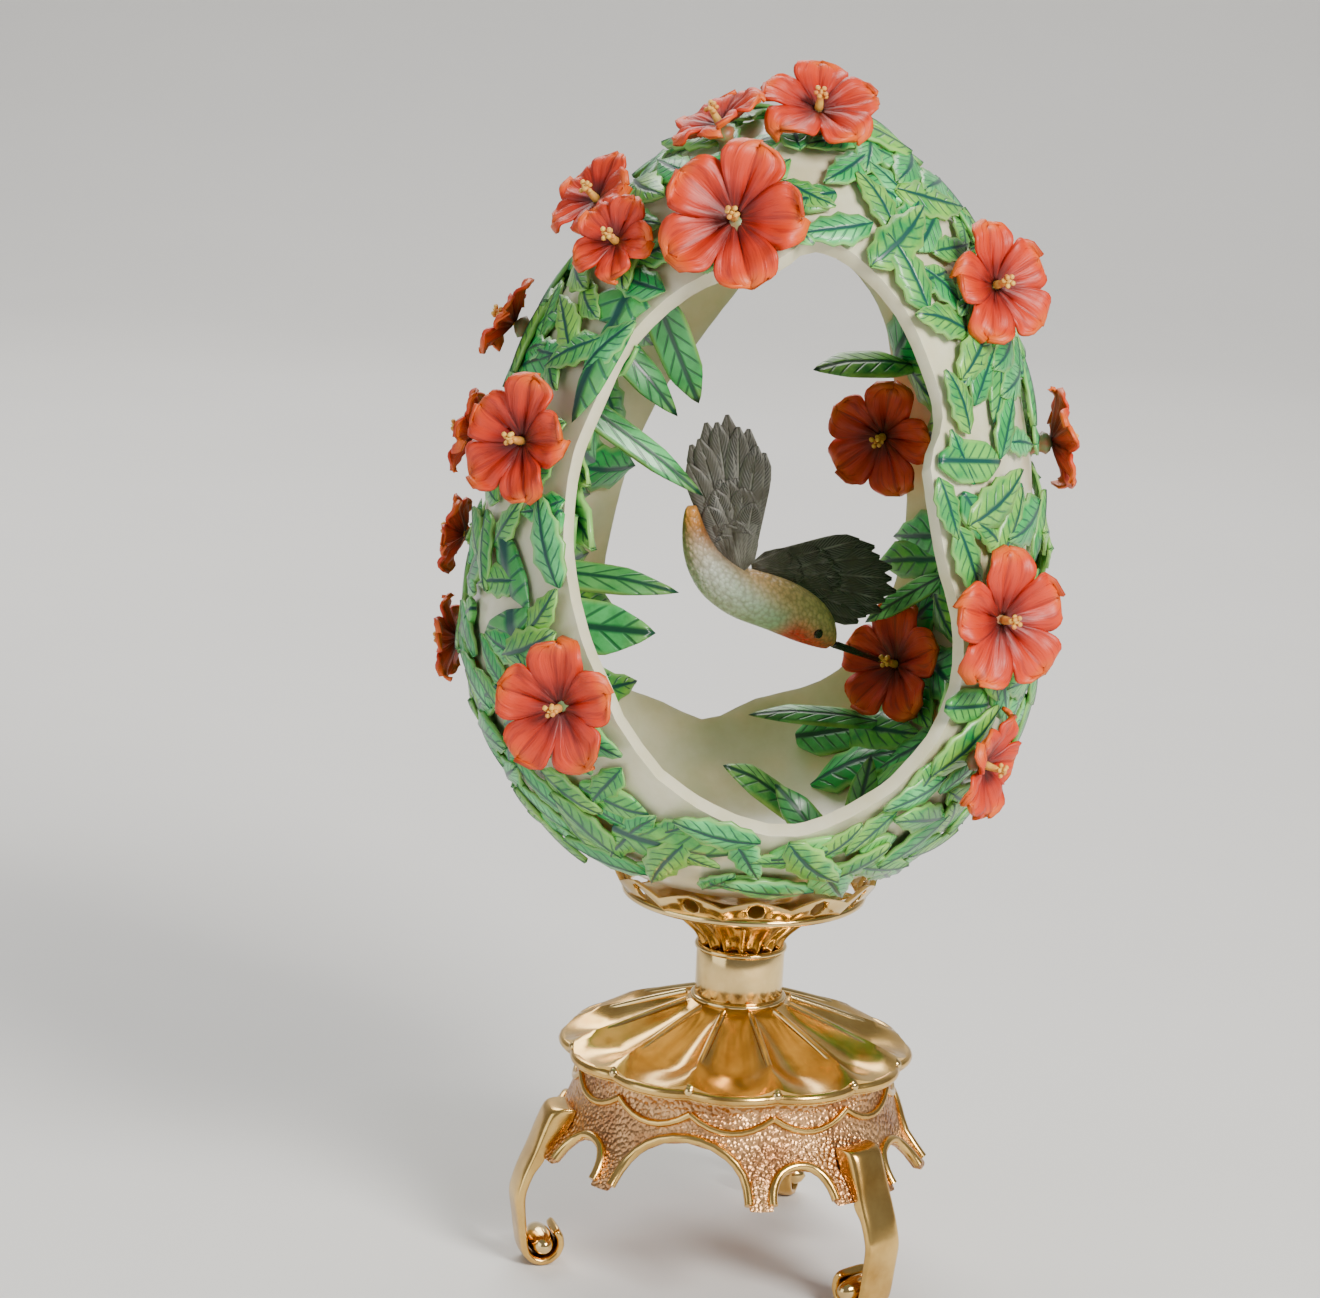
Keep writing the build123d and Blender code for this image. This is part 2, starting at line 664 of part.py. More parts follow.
def flower(turn, rise, size_share, face_turn, face_rise, spin, inset=0.0):
    """A five-petalled flower on a short calyx, seated on the shell, with its stamen."""
    facing = -1 if inset else 1
    size = flower_radius * size_share
    seat = egg_point(turn, rise, inset)
    up = egg_normal(seat, inset) * facing
    face = way(face_turn, face_rise)
    centre = seat + up * flower_lift
    aside = Vector(0, 0, 1).cross(face).normalized()
    over = face.cross(aside)
    root_side = over.cross(up).normalized()
    between = spin + 180 / petal_count
    calyx = skin([
        regular_ring(seat + up * leaf_lift, root_side, up.cross(root_side), calyx_root_radius,
                     petal_count, between),
        regular_ring(centre - face * (petal_thickness / 2), aside, over, size * calyx_radius_share,
                     petal_count, between)])
    stamen = skin([
        regular_ring(centre - face * petal_thickness, aside, over, stamen_radius, stamen_sides),
        regular_ring(centre + face * stamen_length, aside, over, stamen_radius * stamen_tip_share,
                     stamen_sides)])
    blades = []
    for k, angle in enumerate(around(petal_count, spin)):
        along = aside * cosd(angle) + over * sind(angle)
        length = size * petal_reach_shares[k]
        blades.append(petal(centre, face, along, length, size, inset, facing))
    return Part() + calyx + blades + stamen


# Bird, in shares of the radius of the hollow: middle of each section and its radius

bird_spine_shares = [
    (-0.268, 0.120, 0.386, 0.026), (-0.253, 0.130, 0.298, 0.046), (-0.211, 0.151, 0.181, 0.072),
    (-0.133, 0.181, 0.093, 0.094), (-0.024, 0.217, 0.042, 0.108), (0.096, 0.256, 0.015, 0.112),
    (0.205, 0.301, -0.036, 0.108), (0.283, 0.337, -0.090, 0.082), (0.331, 0.367, -0.145, 0.034),
]
bird_sides = 10
head_station, face_station = 6, 7
bill_root_share = 0.022
bill_tip_share = 0.012
bill_gap = 0.25
eye_radius = 0.8
eye_stand_out = 0.35
eye_crown_share = 0.6
eye_sides = 8
wing_thickness = 0.7


def bird_body():
    """Tail, body and head in one, as a skin over rings square to the bird's bent spine."""
    hollow = egg_radius - shell_wall
    rings = []
    count = len(bird_spine_shares)
    for k, row in enumerate(bird_spine_shares):
        before = hollow_point(bird_spine_shares[max(0, k - 1)])
        after = hollow_point(bird_spine_shares[min(count - 1, k + 1)])
        along = (after - before).normalized()
        side = along.cross(Vector(0, 1, 0)).normalized()
        up = along.cross(side)
        rings.append(regular_ring(hollow_point(row), side, up, hollow * row[3], bird_sides))
    return skin(rings)


def inner_flower_throat(places):
    """The middle of an inner flower and the way it faces."""
    turn, rise, _, face_turn, face_rise, _ = places
    seat = egg_point(turn, rise, shell_wall)
    return seat - egg_normal(seat, shell_wall) * flower_lift, way(face_turn, face_rise)


def bird_bill():
    """The bill, from the flat of the face into the throat of the lower inner flower."""
    hollow = egg_radius - shell_wall
    root = hollow_point(bird_spine_shares[-1])
    inward = (root - hollow_point(bird_spine_shares[-2])).normalized()
    throat, face = inner_flower_throat(inner_flower_places[1])
    tip = throat + face * (stamen_length + bill_gap)
    along = (tip - root).normalized()
    side = inward.cross(Vector(0, 1, 0)).normalized()
    tip_side = along.cross(Vector(0, 1, 0)).normalized()
    return skin([
        regular_ring(root, side, inward.cross(side), hollow * bill_root_share, stamen_sides),
        regular_ring(tip, tip_side, along.cross(tip_side), hollow * bill_tip_share, stamen_sides),
    ])


# Wing outlines: along the wing and across it, in shares of its length
left_wing_shares = [
    (-0.12, 0.00), (0.02, 0.13), (0.30, 0.10), (0.46, 0.17), (0.66, 0.22), (0.88, 0.20), (1.0, 0.10),
    (0.98, -0.06), (0.86, -0.16), (0.68, -0.16), (0.52, -0.06), (0.30, -0.12), (0.05, -0.10),
]
right_wing_shares = [
    (-0.12, -0.10), (0.02, 0.16), (0.22, 0.22), (0.42, 0.24), (0.68, 0.20), (0.88, 0.11), (1.0, -0.02),
    (0.90, -0.15), (0.72, -0.22), (0.54, -0.26), (0.34, -0.20), (0.10, -0.16),
]
left_wing_root_share = (-0.055, 0.175, 0.13)
left_wing_tip_share = (-0.17, 0.12, 0.76)
right_wing_root_share = (0.03, 0.26, 0.10)
right_wing_tip_share = (0.55, 0.54, 0.14)
left_wing_flat_way = way(95, 5)
right_wing_flat_way = way(60, 20)


def wing(root_share, tip_share, outline_shares, flat_way, body):
    """A thin blade from the shoulder to its tip, cut to fit the body."""
    root, tip = hollow_point(root_share), hollow_point(tip_share)
    along = (tip - root).normalized()
    length = (tip - root).length
    up = (flat_way - along * flat_way.dot(along)).normalized()
    plane = Plane(origin=root, x_dir=along, z_dir=up)
    outline = Polyline(*[(a * length, b * length) for a, b in outline_shares], close=True)
    blade = extrude(plane * make_face(outline), amount=wing_thickness / 2, both=True)
    return blade - body


def bird_eyes(body):
    """Two small buttons, one on each side of the head, cut to sit on it."""
    hollow = egg_radius - shell_wall
    head, face = hollow_point(bird_spine_shares[head_station]), hollow_point(bird_spine_shares[face_station])
    middle = (head + face) / 2
    along = (face - head).normalized()
    eyes = []
    for sign in (-1, 1):
        out = (Vector(0, sign, 0) - along * along.Y * sign).normalized()
        radius = hollow * (bird_spine_shares[head_station][3] + bird_spine_shares[face_station][3]) / 2
        root = middle + out * (radius - eye_stand_out)
        eyes.append(skin([
            regular_ring(root, out.cross(along), along, eye_radius, eye_sides),
            regular_ring(root + out * 2 * eye_stand_out, out.cross(along), along,
                         eye_radius * eye_crown_share, eye_sides)]))
    return Part() + eyes - body


# Everything, by the name of its piece

egg_seat = Pos(egg_shift, 0, egg_height) * Rot(0, egg_lean, 0)
pieces = {}


def keep(name, shape):
    pieces[name] = shape


def keep_on_egg(name, shape):
    pieces[name] = egg_seat * shape


keep("base_skirt", base_skirt())
core = skirt_core()
for number, turn in enumerate(around(leg_count, stand_turn), start=1):
    keep(f"leg_{number}", leg(turn, core))
keep("foot_buttons", Compound(children=[foot_button(turn) for turn in around(leg_count, stand_turn)]))
keep("dome", dome())
keep("collar", collar())
keep("cup", cup())
keep("gallery", gallery())
keep("washer", washer())
keep("nut", nut())
keep("tie_rod", tie_rod())

keep_on_egg("egg_shell", egg_shell())
leaf_zones = {
    "leaves_front_left": front_left_leaves, "leaves_lower_left": lower_left_leaves,
    "leaves_wreath": wreath_leaves, "leaves_front_right": front_right_leaves,
    "leaves_crown": crown_leaves, "leaves_right_side": right_side_leaves,
    "leaves_left_side": left_side_leaves, "leaves_back": back_leaves,
}
for name, rows in leaf_zones.items():
    keep_on_egg(name, leaf_zone(rows))
keep_on_egg("inner_wall_leaves", leaf_zone(inner_wall_leaves, inset=shell_wall))
for number, row in enumerate(free_leaf_shares, start=1):
    keep_on_egg(f"free_leaf_{number:02d}", free_leaf(*row))
flowers = [(row, 0.0) for row in outer_flower_places] + [(row, shell_wall) for row in inner_flower_places]
for number, (row, inset) in enumerate(flowers, start=1):
    keep_on_egg(f"flower_{number:02d}", flower(*row, inset=inset))
body = bird_body()
keep_on_egg("bird_body", body)
keep_on_egg("bird_bill", bird_bill())
keep_on_egg("bird_left_wing",
            wing(left_wing_root_share, left_wing_tip_share, left_wing_shares, left_wing_flat_way, body))
keep_on_egg("bird_right_wing",
            wing(right_wing_root_share, right_wing_tip_share, right_wing_shares, right_wing_flat_way, body))
keep_on_egg("bird_eyes", bird_eyes(body))

os.makedirs("parts", exist_ok=True)
for name, shape in pieces.items():
    export_step(shape, f"parts/{name}.step")
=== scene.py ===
# %% [markdown]
# # A decorative egg on its stand
# This lesson takes the solid model of the egg as its frame and gives it its looks: creamy glaze, painted
# leaves with veins, ruffled flowers, a feathered bird, and a stippled, ribbed and polished stand.
# Lengths are in metres. A turn goes round the upright axis from +X towards the viewer at -Y, and a rise
# is the angle of a place on the egg above its widest circle.

# %% Frame
import bpy
import bmesh
from contextlib import contextmanager
from math import cos, pi, radians, sin, sqrt
from mathutils import Matrix, Vector
from mathutils.bvhtree import BVHTree
import numpy as np


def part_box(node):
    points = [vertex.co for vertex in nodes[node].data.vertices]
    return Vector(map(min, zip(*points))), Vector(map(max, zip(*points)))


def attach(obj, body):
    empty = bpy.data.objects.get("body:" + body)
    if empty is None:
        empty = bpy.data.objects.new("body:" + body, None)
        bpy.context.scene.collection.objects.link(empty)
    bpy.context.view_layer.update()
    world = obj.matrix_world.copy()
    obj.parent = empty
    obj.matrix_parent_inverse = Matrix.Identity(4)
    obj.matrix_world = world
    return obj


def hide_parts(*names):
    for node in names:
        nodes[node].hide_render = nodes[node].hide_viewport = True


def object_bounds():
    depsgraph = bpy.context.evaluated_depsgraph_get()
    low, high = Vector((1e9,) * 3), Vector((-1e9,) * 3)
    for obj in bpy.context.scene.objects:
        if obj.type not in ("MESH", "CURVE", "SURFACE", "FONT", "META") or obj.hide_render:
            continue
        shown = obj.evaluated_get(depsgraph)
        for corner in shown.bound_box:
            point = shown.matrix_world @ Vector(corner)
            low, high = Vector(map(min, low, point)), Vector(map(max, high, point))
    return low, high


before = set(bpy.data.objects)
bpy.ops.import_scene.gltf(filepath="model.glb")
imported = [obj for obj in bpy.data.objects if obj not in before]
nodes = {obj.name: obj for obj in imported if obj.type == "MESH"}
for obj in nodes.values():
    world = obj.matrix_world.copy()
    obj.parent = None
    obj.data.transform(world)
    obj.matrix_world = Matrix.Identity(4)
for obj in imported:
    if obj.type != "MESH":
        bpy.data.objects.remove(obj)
model_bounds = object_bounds()

MM = 0.001
up_axis = Vector((0, 0, 1))
print(f"The frame holds {len(nodes)} pieces and stands {model_bounds[1][2] / MM:.1f} mm high")


# %% [markdown]
# Flowers, leaves, arches and flutes are all placed by angles in degrees, so the first helpers turn such
# angles into ways out from the middle.

# %% Ways
def cosd(angle):
    return cos(radians(angle))


def sind(angle):
    return sin(radians(angle))


def way(turn, rise=0.0):
    return Vector((cosd(rise) * cosd(turn), -cosd(rise) * sind(turn), sind(rise)))


print(f"The viewer stands at the way {tuple(round(c, 3) for c in way(90))}")


# %% [markdown]
# ## Finished pieces
# Looks may not make the object larger than its solids. A petal or leaf tip that passes their box is
# squeezed back along a soft margin, because a hard cut would show as a flat.

# %% Keeping to the size
soft_margin = 5.0 * MM
box_margin = 0.02 * MM


def points_of(mesh):
    """The mesh's points as rows of x, y and z."""
    points = np.empty(len(mesh.vertices) * 3)
    mesh.vertices.foreach_get("co", points)
    return points.reshape(-1, 3)


def keep_inside(mesh):
    """Squeezes what passes the solid model's box back into it, along a soft margin of the box."""
    points = points_of(mesh)
    low, high = model_bounds
    for axis in range(3):
        for sign, limit in ((1, high[axis]), (-1, -low[axis])):
            reach = points[:, axis] * sign
            start, furthest = limit - soft_margin, reach.max()
            if furthest > limit:
                squeezed = start + (reach - start) * (soft_margin - box_margin) / (furthest - start)
                points[:, axis] = np.where(reach > start, squeezed, reach) * sign
    mesh.vertices.foreach_set("co", points.ravel())
    mesh.update()


print(f"Pieces end {box_margin / MM:.2f} mm inside the solids' box")


# %% [markdown]
# A piece starts as a mesh on an object. Modifiers such as a bevel or a wall are made real before the
# piece is handed over, so that what is exported is what is seen. Then it is told which body it rides on
# and which solids it stands for.

# %% Making and handing over a piece
def finish_piece(obj, body, slot_name, *replaced):
    """Makes a finished piece ride on its body in place of CAD nodes; slot_name is not used."""
    keep_inside(obj.data)
    bpy.context.view_layer.update()
    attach(obj, body)
    if replaced:
        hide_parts(*replaced)
    return obj


def add_object(name, mesh, materials):
    obj = bpy.data.objects.new(name, mesh)
    bpy.context.scene.collection.objects.link(obj)
    for material in materials:
        obj.data.materials.append(material)
    return obj


def baked(obj):
    """The object with its modifiers made real."""
    mesh = bpy.data.meshes.new_from_object(obj.evaluated_get(bpy.context.evaluated_depsgraph_get()))
    obj.modifiers.clear()
    obj.data = mesh
    return obj


# %% [markdown]
# ## Materials
# Cast, painted and gilded surfaces are never one flat colour. One shared node group gives most finishes
# their uneven tone and slight waviness: noise mixes two colours, and the same noise drives a fine bump.
# As a group, the recipe is kept in one place, and each finish sets its own colours, scale and strength.

# %% Mottle group
mottle_low, mottle_high = 0.38, 0.66
wave_depth = 0.15 * MM


def set_inputs(node, **values):
    for name, value in values.items():
        node.inputs[name.replace("_", " ")].default_value = value


def add_nodes(tree, family, *kinds):
    return [tree.nodes.new(family + kind) for kind in kinds]


def join(tree, *rows):
    """Links nodes: each row names a node and its output, then the next node and its input."""
    for source, output, target, slot_in in rows:
        tree.links.new(source.outputs[output], target.inputs[slot_in])


def mottle_group():
    """Mottles a colour with a second one and makes a fine bump."""
    tree = bpy.data.node_groups.new("Mottle and wave", "ShaderNodeTree")
    for label, kind in (("Colour", "Color"), ("Second", "Color"), ("Scale", "Float"), ("Bump", "Float")):
        tree.interface.new_socket(label, in_out="INPUT", socket_type=f"NodeSocket{kind}")
    for label, kind in (("Colour", "Color"), ("Noise", "Float"), ("Normal", "Vector")):
        tree.interface.new_socket(label, in_out="OUTPUT", socket_type=f"NodeSocket{kind}")
    start, end = add_nodes(tree, "NodeGroup", "Input", "Output")
    place, noise, spread, mix, bump = add_nodes(
        tree, "ShaderNode", "TexCoord", "TexNoise", "MapRange", "Mix", "Bump")
    mix.data_type = "RGBA"
    set_inputs(noise, Detail=5.0, Roughness=0.6)
    set_inputs(spread, From_Min=mottle_low, From_Max=mottle_high)
    set_inputs(bump, Distance=wave_depth)
    join(tree, (place, "Object", noise, "Vector"), (start, "Scale", noise, "Scale"),
         (noise, "Fac", spread, "Value"), (spread, "Result", mix, "Factor"),
         (start, "Colour", mix, "A"), (start, "Second", mix, "B"),
         (noise, "Fac", bump, "Height"), (start, "Bump", bump, "Strength"),
         (mix, "Result", end, "Colour"), (noise, "Fac", end, "Noise"), (bump, "Normal", end, "Normal"))
    return tree


mottle_tree = mottle_group()
print(f"The mottle group has {len(mottle_tree.nodes)} nodes")


# %% [markdown]
# A finish is built by joining nodes, and most of the joins are a little arithmetic. A small class keeps
# the tree of one material and names the steps that come again: a product, a soft threshold and a mix. The
# shader itself stays in the material, and the last step feeds it.

# %% Joining nodes
class NodeWork:
    """A material's node tree with short ways to add and join nodes."""

    def __init__(self, name):
        self.material = bpy.data.materials.new(name)
        self.material.use_nodes = True
        self.tree = self.material.node_tree
        self.shader = self.tree.nodes["Principled BSDF"]

    def node(self, kind, **settings):
        made = self.tree.nodes.new(f"ShaderNode{kind}")
        for key, value in settings.items():
            setattr(made, key, value)
        return made

    def feed(self, slot_in, value):
        """Gives an input a plain value, or joins it to another node's output."""
        if isinstance(value, bpy.types.NodeSocket):
            self.tree.links.new(value, slot_in)
        else:
            slot_in.default_value = value

    def maths(self, operation, *values):
        made = self.node("Math", operation=operation)
        for slot_in, value in zip(made.inputs, values):
            self.feed(slot_in, value)
        return made.outputs[0]

    def times(self, value, share):
        return self.maths("MULTIPLY", value, share)

    def step(self, value, low, high):
        """0 below low and 1 above high, smoothly between."""
        made = self.node("MapRange", interpolation_type="SMOOTHSTEP")
        set_inputs(made, From_Min=low, From_Max=high)
        self.feed(made.inputs["Value"], value)
        return made.outputs["Result"]

    def below(self, value, low, high):
        """1 below low and 0 above high, smoothly between."""
        return self.maths("SUBTRACT", 1.0, self.step(value, low, high))

    def mix(self, factor, first, second):
        made = self.node("Mix", data_type="RGBA")
        for name, value in (("Factor", factor), ("A", first), ("B", second)):
            self.feed(made.inputs[name], value)
        return made.outputs["Result"]

    def finish(self, base, normal, **settings):
        self.feed(self.shader.inputs["Base Color"], base)
        self.feed(self.shader.inputs["Normal"], normal)
        set_inputs(self.shader, **settings)
        return self.material


print("Steps:", ", ".join(name for name in vars(NodeWork) if not name.startswith("_")))


# %% [markdown]
# Paint on this object is made of few patterns: tones picked along a ramp, the mottle group, veins that
# slant forward from a midrib, small cells for dots and plumes, and a bump that raises or sinks any of
# them. Leaves, petals and feathers tell their paint where each place lies through an attribute, so that
# a pattern follows the piece and stays with it when it moves.

# %% Patterns
class Paint(NodeWork):
    """A material with the patterns that paint, glaze and gilt are made of."""

    def ramp(self, value, stops):
        """Colours along a value: each stop is its place and its red, green and blue."""
        made = self.node("ValToRGB")
        band = made.color_ramp
        while len(band.elements) < len(stops):
            band.elements.new(1.0)
        for element, (place, *tone) in zip(band.elements, stops):
            element.position, element.color = place, (*tone, 1.0)
        self.feed(made.inputs["Fac"], value)
        return made.outputs["Color"]

    def mottle(self, first, second, scale, bump):
        made = self.node("Group", node_tree=mottle_tree)
        self.feed(made.inputs["Colour"], first)
        self.feed(made.inputs["Second"], second)
        set_inputs(made, Scale=scale, Bump=bump)
        return made

    def slanted(self, along, off_rib, count, slant):
        """0 on lines that run forward from a midrib, and a half midway between them."""
        place = self.maths("SUBTRACT", self.times(along, count), self.times(off_rib, slant))
        return self.maths("ABSOLUTE", self.maths("SUBTRACT", self.maths("FRACT", place), 0.5))

    def cells(self, scale, smoothness=None):
        """How far a place lies from the middle of its cell, on the piece's own coordinates."""
        made = self.node("TexVoronoi")
        set_inputs(made, Scale=scale)
        if smoothness is not None:
            made.feature = "SMOOTH_F1"
            set_inputs(made, Smoothness=smoothness)
        self.feed(made.inputs["Vector"], self.node("TexCoord").outputs["Object"])
        return made.outputs["Distance"]

    def bump(self, height, strength, depth, normal=None, invert=False):
        made = self.node("Bump", invert=invert)
        set_inputs(made, Strength=strength, Distance=depth)
        self.feed(made.inputs["Height"], height)
        if normal is not None:
            self.feed(made.inputs["Normal"], normal)
        return made.outputs["Normal"]

    def leaf_place(self):
        """Along, across and chance: what a leaf, petal or feather says of each of its places."""
        source, parts = self.node("Attribute", attribute_name="leaf_place"), self.node("SeparateXYZ")
        self.feed(parts.inputs["Vector"], source.outputs["Vector"])
        return parts.outputs["X"], parts.outputs["Y"], parts.outputs["Z"]


def colour(r, g, b):
    return (r, g, b, 1.0)


print("Patterns:", ", ".join(name for name in vars(Paint) if not name.startswith("_")))


# %% [markdown]
# The shell is glazed: warm cream, mottled with a browner wash, under a thin clear coat. The gilt is
# polished metal whose roughness wanders a little, as rubbed gilding does. The rod, washer and nut inside
# the stand are plain steel, made by the same recipe.

# %% Glaze, gilt and steel
def porcelain():
    paint = Paint("Cream glaze")
    tone = paint.mottle(colour(0.83, 0.76, 0.56), colour(0.66, 0.60, 0.36), scale=90.0, bump=0.35)
    return paint.finish(tone.outputs["Colour"], tone.outputs["Normal"], Roughness=0.32, Coat_Weight=0.45,
                        Coat_Roughness=0.12, Subsurface_Weight=0.08)


def gilt(name, first, second, rough_low, rough_high, scale, bump):
    paint = Paint(name)
    tone = paint.mottle(first, second, scale, bump)
    rough = paint.node("MapRange")
    set_inputs(rough, To_Min=rough_low, To_Max=rough_high)
    paint.feed(rough.inputs["Value"], tone.outputs["Noise"])
    paint.feed(paint.shader.inputs["Roughness"], rough.outputs["Result"])
    return paint.finish(tone.outputs["Colour"], tone.outputs["Normal"], Metallic=1.0)


cream = porcelain()
gold = gilt("Gilt", colour(0.86, 0.56, 0.18), colour(0.55, 0.31, 0.08), rough_low=0.12, rough_high=0.30,
            scale=140.0, bump=0.25)
pale_gold = gilt("Polished pale gilt", colour(0.90, 0.66, 0.30), colour(0.62, 0.40, 0.14), rough_low=0.06,
                 rough_high=0.20, scale=110.0, bump=0.15)
steel = gilt("Plain steel", colour(0.62, 0.62, 0.62), colour(0.45, 0.45, 0.45), rough_low=0.25,
             rough_high=0.45, scale=300.0, bump=0.2)
print(f"{len(bpy.data.materials)} materials so far")


# %% [markdown]
# The skirt's gilt is pinker and has small raised dots all over. There are thousands, each under a
# millimetre wide, so a cell pattern raises them in the bump: as geometry they would only weigh.

# %% Stippled gilt
dot_scale, dot_height = 1800.0, 0.3 * MM


def stippled():
    paint = Paint("Stippled rose gilt")
    tone = paint.mottle(colour(0.78, 0.44, 0.20), colour(0.42, 0.19, 0.08), scale=160.0, bump=0.3)
    dots = paint.cells(dot_scale, smoothness=0.2)
    normal = paint.bump(dots, 0.9, dot_height, tone.outputs["Normal"], invert=True)
    return paint.finish(tone.outputs["Colour"], normal, Metallic=1.0, Roughness=0.34)


rose_gold = stippled()
print(f"{rose_gold.name} has dots about {1000 / dot_scale:.1f} mm apart")


# %% [markdown]
# The leaves are painted by hand: a dark midrib and side veins, and a paler, yellower edge and tip. The
# paint reads the attribute `leaf_place`: x runs from the leaf's root (0) to its tip (1), y from -1 to 1
# across it, and z is one number for the whole leaf, which picks its tone. So one material serves every
# leaf, and its veins follow each of them.

# %% Leaf paint
edge_start, tip_start = 0.72, 0.78
side_vein_count, side_vein_slant = 7.0, 1.6
vein_depth = 0.2 * MM


def leaf_paint(name, tones, vein, edge, coat):
    paint = Paint(name)
    along, across, chance = paint.leaf_place()
    off_rib = paint.maths("ABSOLUTE", across)
    wash = colour(*[0.62 * c for c in tones[0][1:]])
    tone = paint.mottle(paint.ramp(chance, tones), wash, scale=260.0, bump=0.3)
    base = paint.mix(paint.times(paint.step(off_rib, edge_start, 1.0), 0.6), tone.outputs["Colour"], edge)
    base = paint.mix(paint.times(paint.step(along, tip_start, 1.0), 0.45), base, edge)
    side_vein = paint.below(paint.slanted(along, off_rib, side_vein_count, side_vein_slant), 0.04, 0.16)
    side_vein = paint.maths("MULTIPLY", side_vein, paint.below(off_rib, 0.6, 0.9))
    lines = paint.maths("MAXIMUM", paint.below(off_rib, 0.05, 0.2), paint.times(side_vein, 0.75))
    normal = paint.bump(lines, 0.6, vein_depth, tone.outputs["Normal"], invert=True)
    return paint.finish(paint.mix(lines, base, vein), normal, Roughness=0.35, Coat_Weight=coat,
                        Coat_Roughness=0.15)


relief_tones = [(0.0, 0.03, 0.48, 0.10), (0.35, 0.11, 0.66, 0.19), (0.6, 0.19, 0.62, 0.08),
                (0.85, 0.01, 0.26, 0.09), (1.0, 0.24, 0.60, 0.07)]
free_tones = [(0.0, 0.04, 0.36, 0.08), (0.4, 0.13, 0.62, 0.20), (0.7, 0.28, 0.64, 0.14),
              (1.0, 0.02, 0.22, 0.07)]
relief_green = leaf_paint("Relief leaf", relief_tones, vein=colour(0.004, 0.070, 0.055),
                          edge=colour(0.34, 0.62, 0.16), coat=0.15)
free_green = leaf_paint("Free leaf", free_tones, vein=colour(0.008, 0.055, 0.03),
                        edge=colour(0.32, 0.42, 0.08), coat=0.2)
print(f"{relief_green.name}: {len(relief_tones)} tones, {free_green.name}: {len(free_tones)} tones")


# %% [markdown]
# A petal is coral red, nearly black in the throat and lighter at its edge, with fine darker streaks that
# run out along it. The streaks are a flat noise stretched along the petal, and they also roughen it.

# %% Petal paint
petal_tones = [(0.0, 0.05, 0.001, 0.0), (0.24, 0.20, 0.004, 0.0), (0.42, 0.50, 0.018, 0.0),
               (0.78, 0.70, 0.042, 0.0), (1.0, 0.80, 0.13, 0.003)]
streak_along, streak_across = 1.6, 9.0
streak_depth = 0.25 * MM


def petal_paint():
    paint = Paint("Coral petals")
    along, across = paint.leaf_place()[:2]
    stretch = paint.node("CombineXYZ")
    paint.feed(stretch.inputs["X"], paint.times(along, streak_along))
    paint.feed(stretch.inputs["Y"], paint.times(across, streak_across))
    streak = paint.node("TexNoise", noise_dimensions="2D")
    set_inputs(streak, Scale=1.4, Detail=3.0)
    paint.feed(streak.inputs["Vector"], stretch.outputs["Vector"])
    veins = paint.times(paint.step(streak.outputs["Fac"], 0.52, 0.7), 0.65)
    base = paint.mix(veins, paint.ramp(along, petal_tones), colour(0.38, 0.010, 0.0))
    rib = paint.below(paint.maths("ABSOLUTE", across), 0.02, 0.12)
    base = paint.mix(paint.times(rib, 0.6), base, colour(0.26, 0.006, 0.0))
    normal = paint.bump(streak.outputs["Fac"], 0.5, streak_depth)
    return paint.finish(base, normal, Roughness=0.5, Coat_Weight=0.12, Coat_Roughness=0.3)


petal_coral = petal_paint()
print(f"{petal_coral.name} has {len(petal_coral.node_tree.nodes)} nodes")


# %% [markdown]
# The bird is painted along its length, one ramp of colours for its back and one for its red throat and
# pale belly, and a cell pattern lays small plumes over both. A wing feather has a pale quill, slanted
# barbs and a lighter edge.

# %% Bird paint
back_tones = [(0.0, 0.80, 0.32, 0.05), (0.12, 0.24, 0.08, 0.015), (0.32, 0.40, 0.15, 0.03),
              (0.46, 0.80, 0.46, 0.20), (0.72, 0.80, 0.62, 0.28), (1.0, 0.82, 0.60, 0.26)]
belly_tones = [(0.0, 0.60, 0.30, 0.10), (0.25, 0.60, 0.62, 0.52), (0.66, 0.42, 0.62, 0.38),
               (0.76, 0.82, 0.030, 0.008), (1.0, 0.80, 0.025, 0.008)]
wing_tones = [(0.0, 0.10, 0.085, 0.05), (0.35, 0.15, 0.145, 0.13), (0.7, 0.07, 0.07, 0.065),
              (1.0, 0.02, 0.018, 0.016)]
plume_scale, plume_depth = 1700.0, 0.25 * MM
barb_count, barb_slant = 26.0, 4.0


def bird_paint():
    paint = Paint("Painted feathers")
    along, across = paint.leaf_place()[:2]
    base = paint.mix(paint.step(across, -0.25, 0.45), paint.ramp(along, belly_tones),
                     paint.ramp(along, back_tones))
    plumes = paint.cells(plume_scale)
    base = paint.mix(paint.times(paint.step(plumes, 0.35, 0.75), 0.35), base, colour(0.16, 0.11, 0.05))
    normal = paint.bump(plumes, 0.7, plume_depth, invert=True)
    return paint.finish(base, normal, Roughness=0.42, Coat_Weight=0.25)


def wing_paint():
    paint = Paint("Wing feathers")
    along, across = paint.leaf_place()[:2]
    off_quill = paint.maths("ABSOLUTE", across)
    quill = paint.below(off_quill, 0.04, 0.16)
    barb = paint.times(paint.below(paint.slanted(along, off_quill, barb_count, barb_slant), 0.05, 0.3), 0.6)
    lines = paint.maths("MAXIMUM", quill, barb)
    base = paint.mix(lines, paint.ramp(along, wing_tones), colour(0.30, 0.29, 0.26))
    base = paint.mix(paint.times(paint.step(off_quill, 0.7, 1.0), 0.5), base, colour(0.40, 0.38, 0.34))
    tone = paint.mottle(base, colour(0.10, 0.09, 0.07), scale=400.0, bump=0.3)
    normal = paint.bump(quill, 0.7, plume_depth, invert=True)
    return paint.finish(tone.outputs["Colour"], normal, Roughness=0.45)


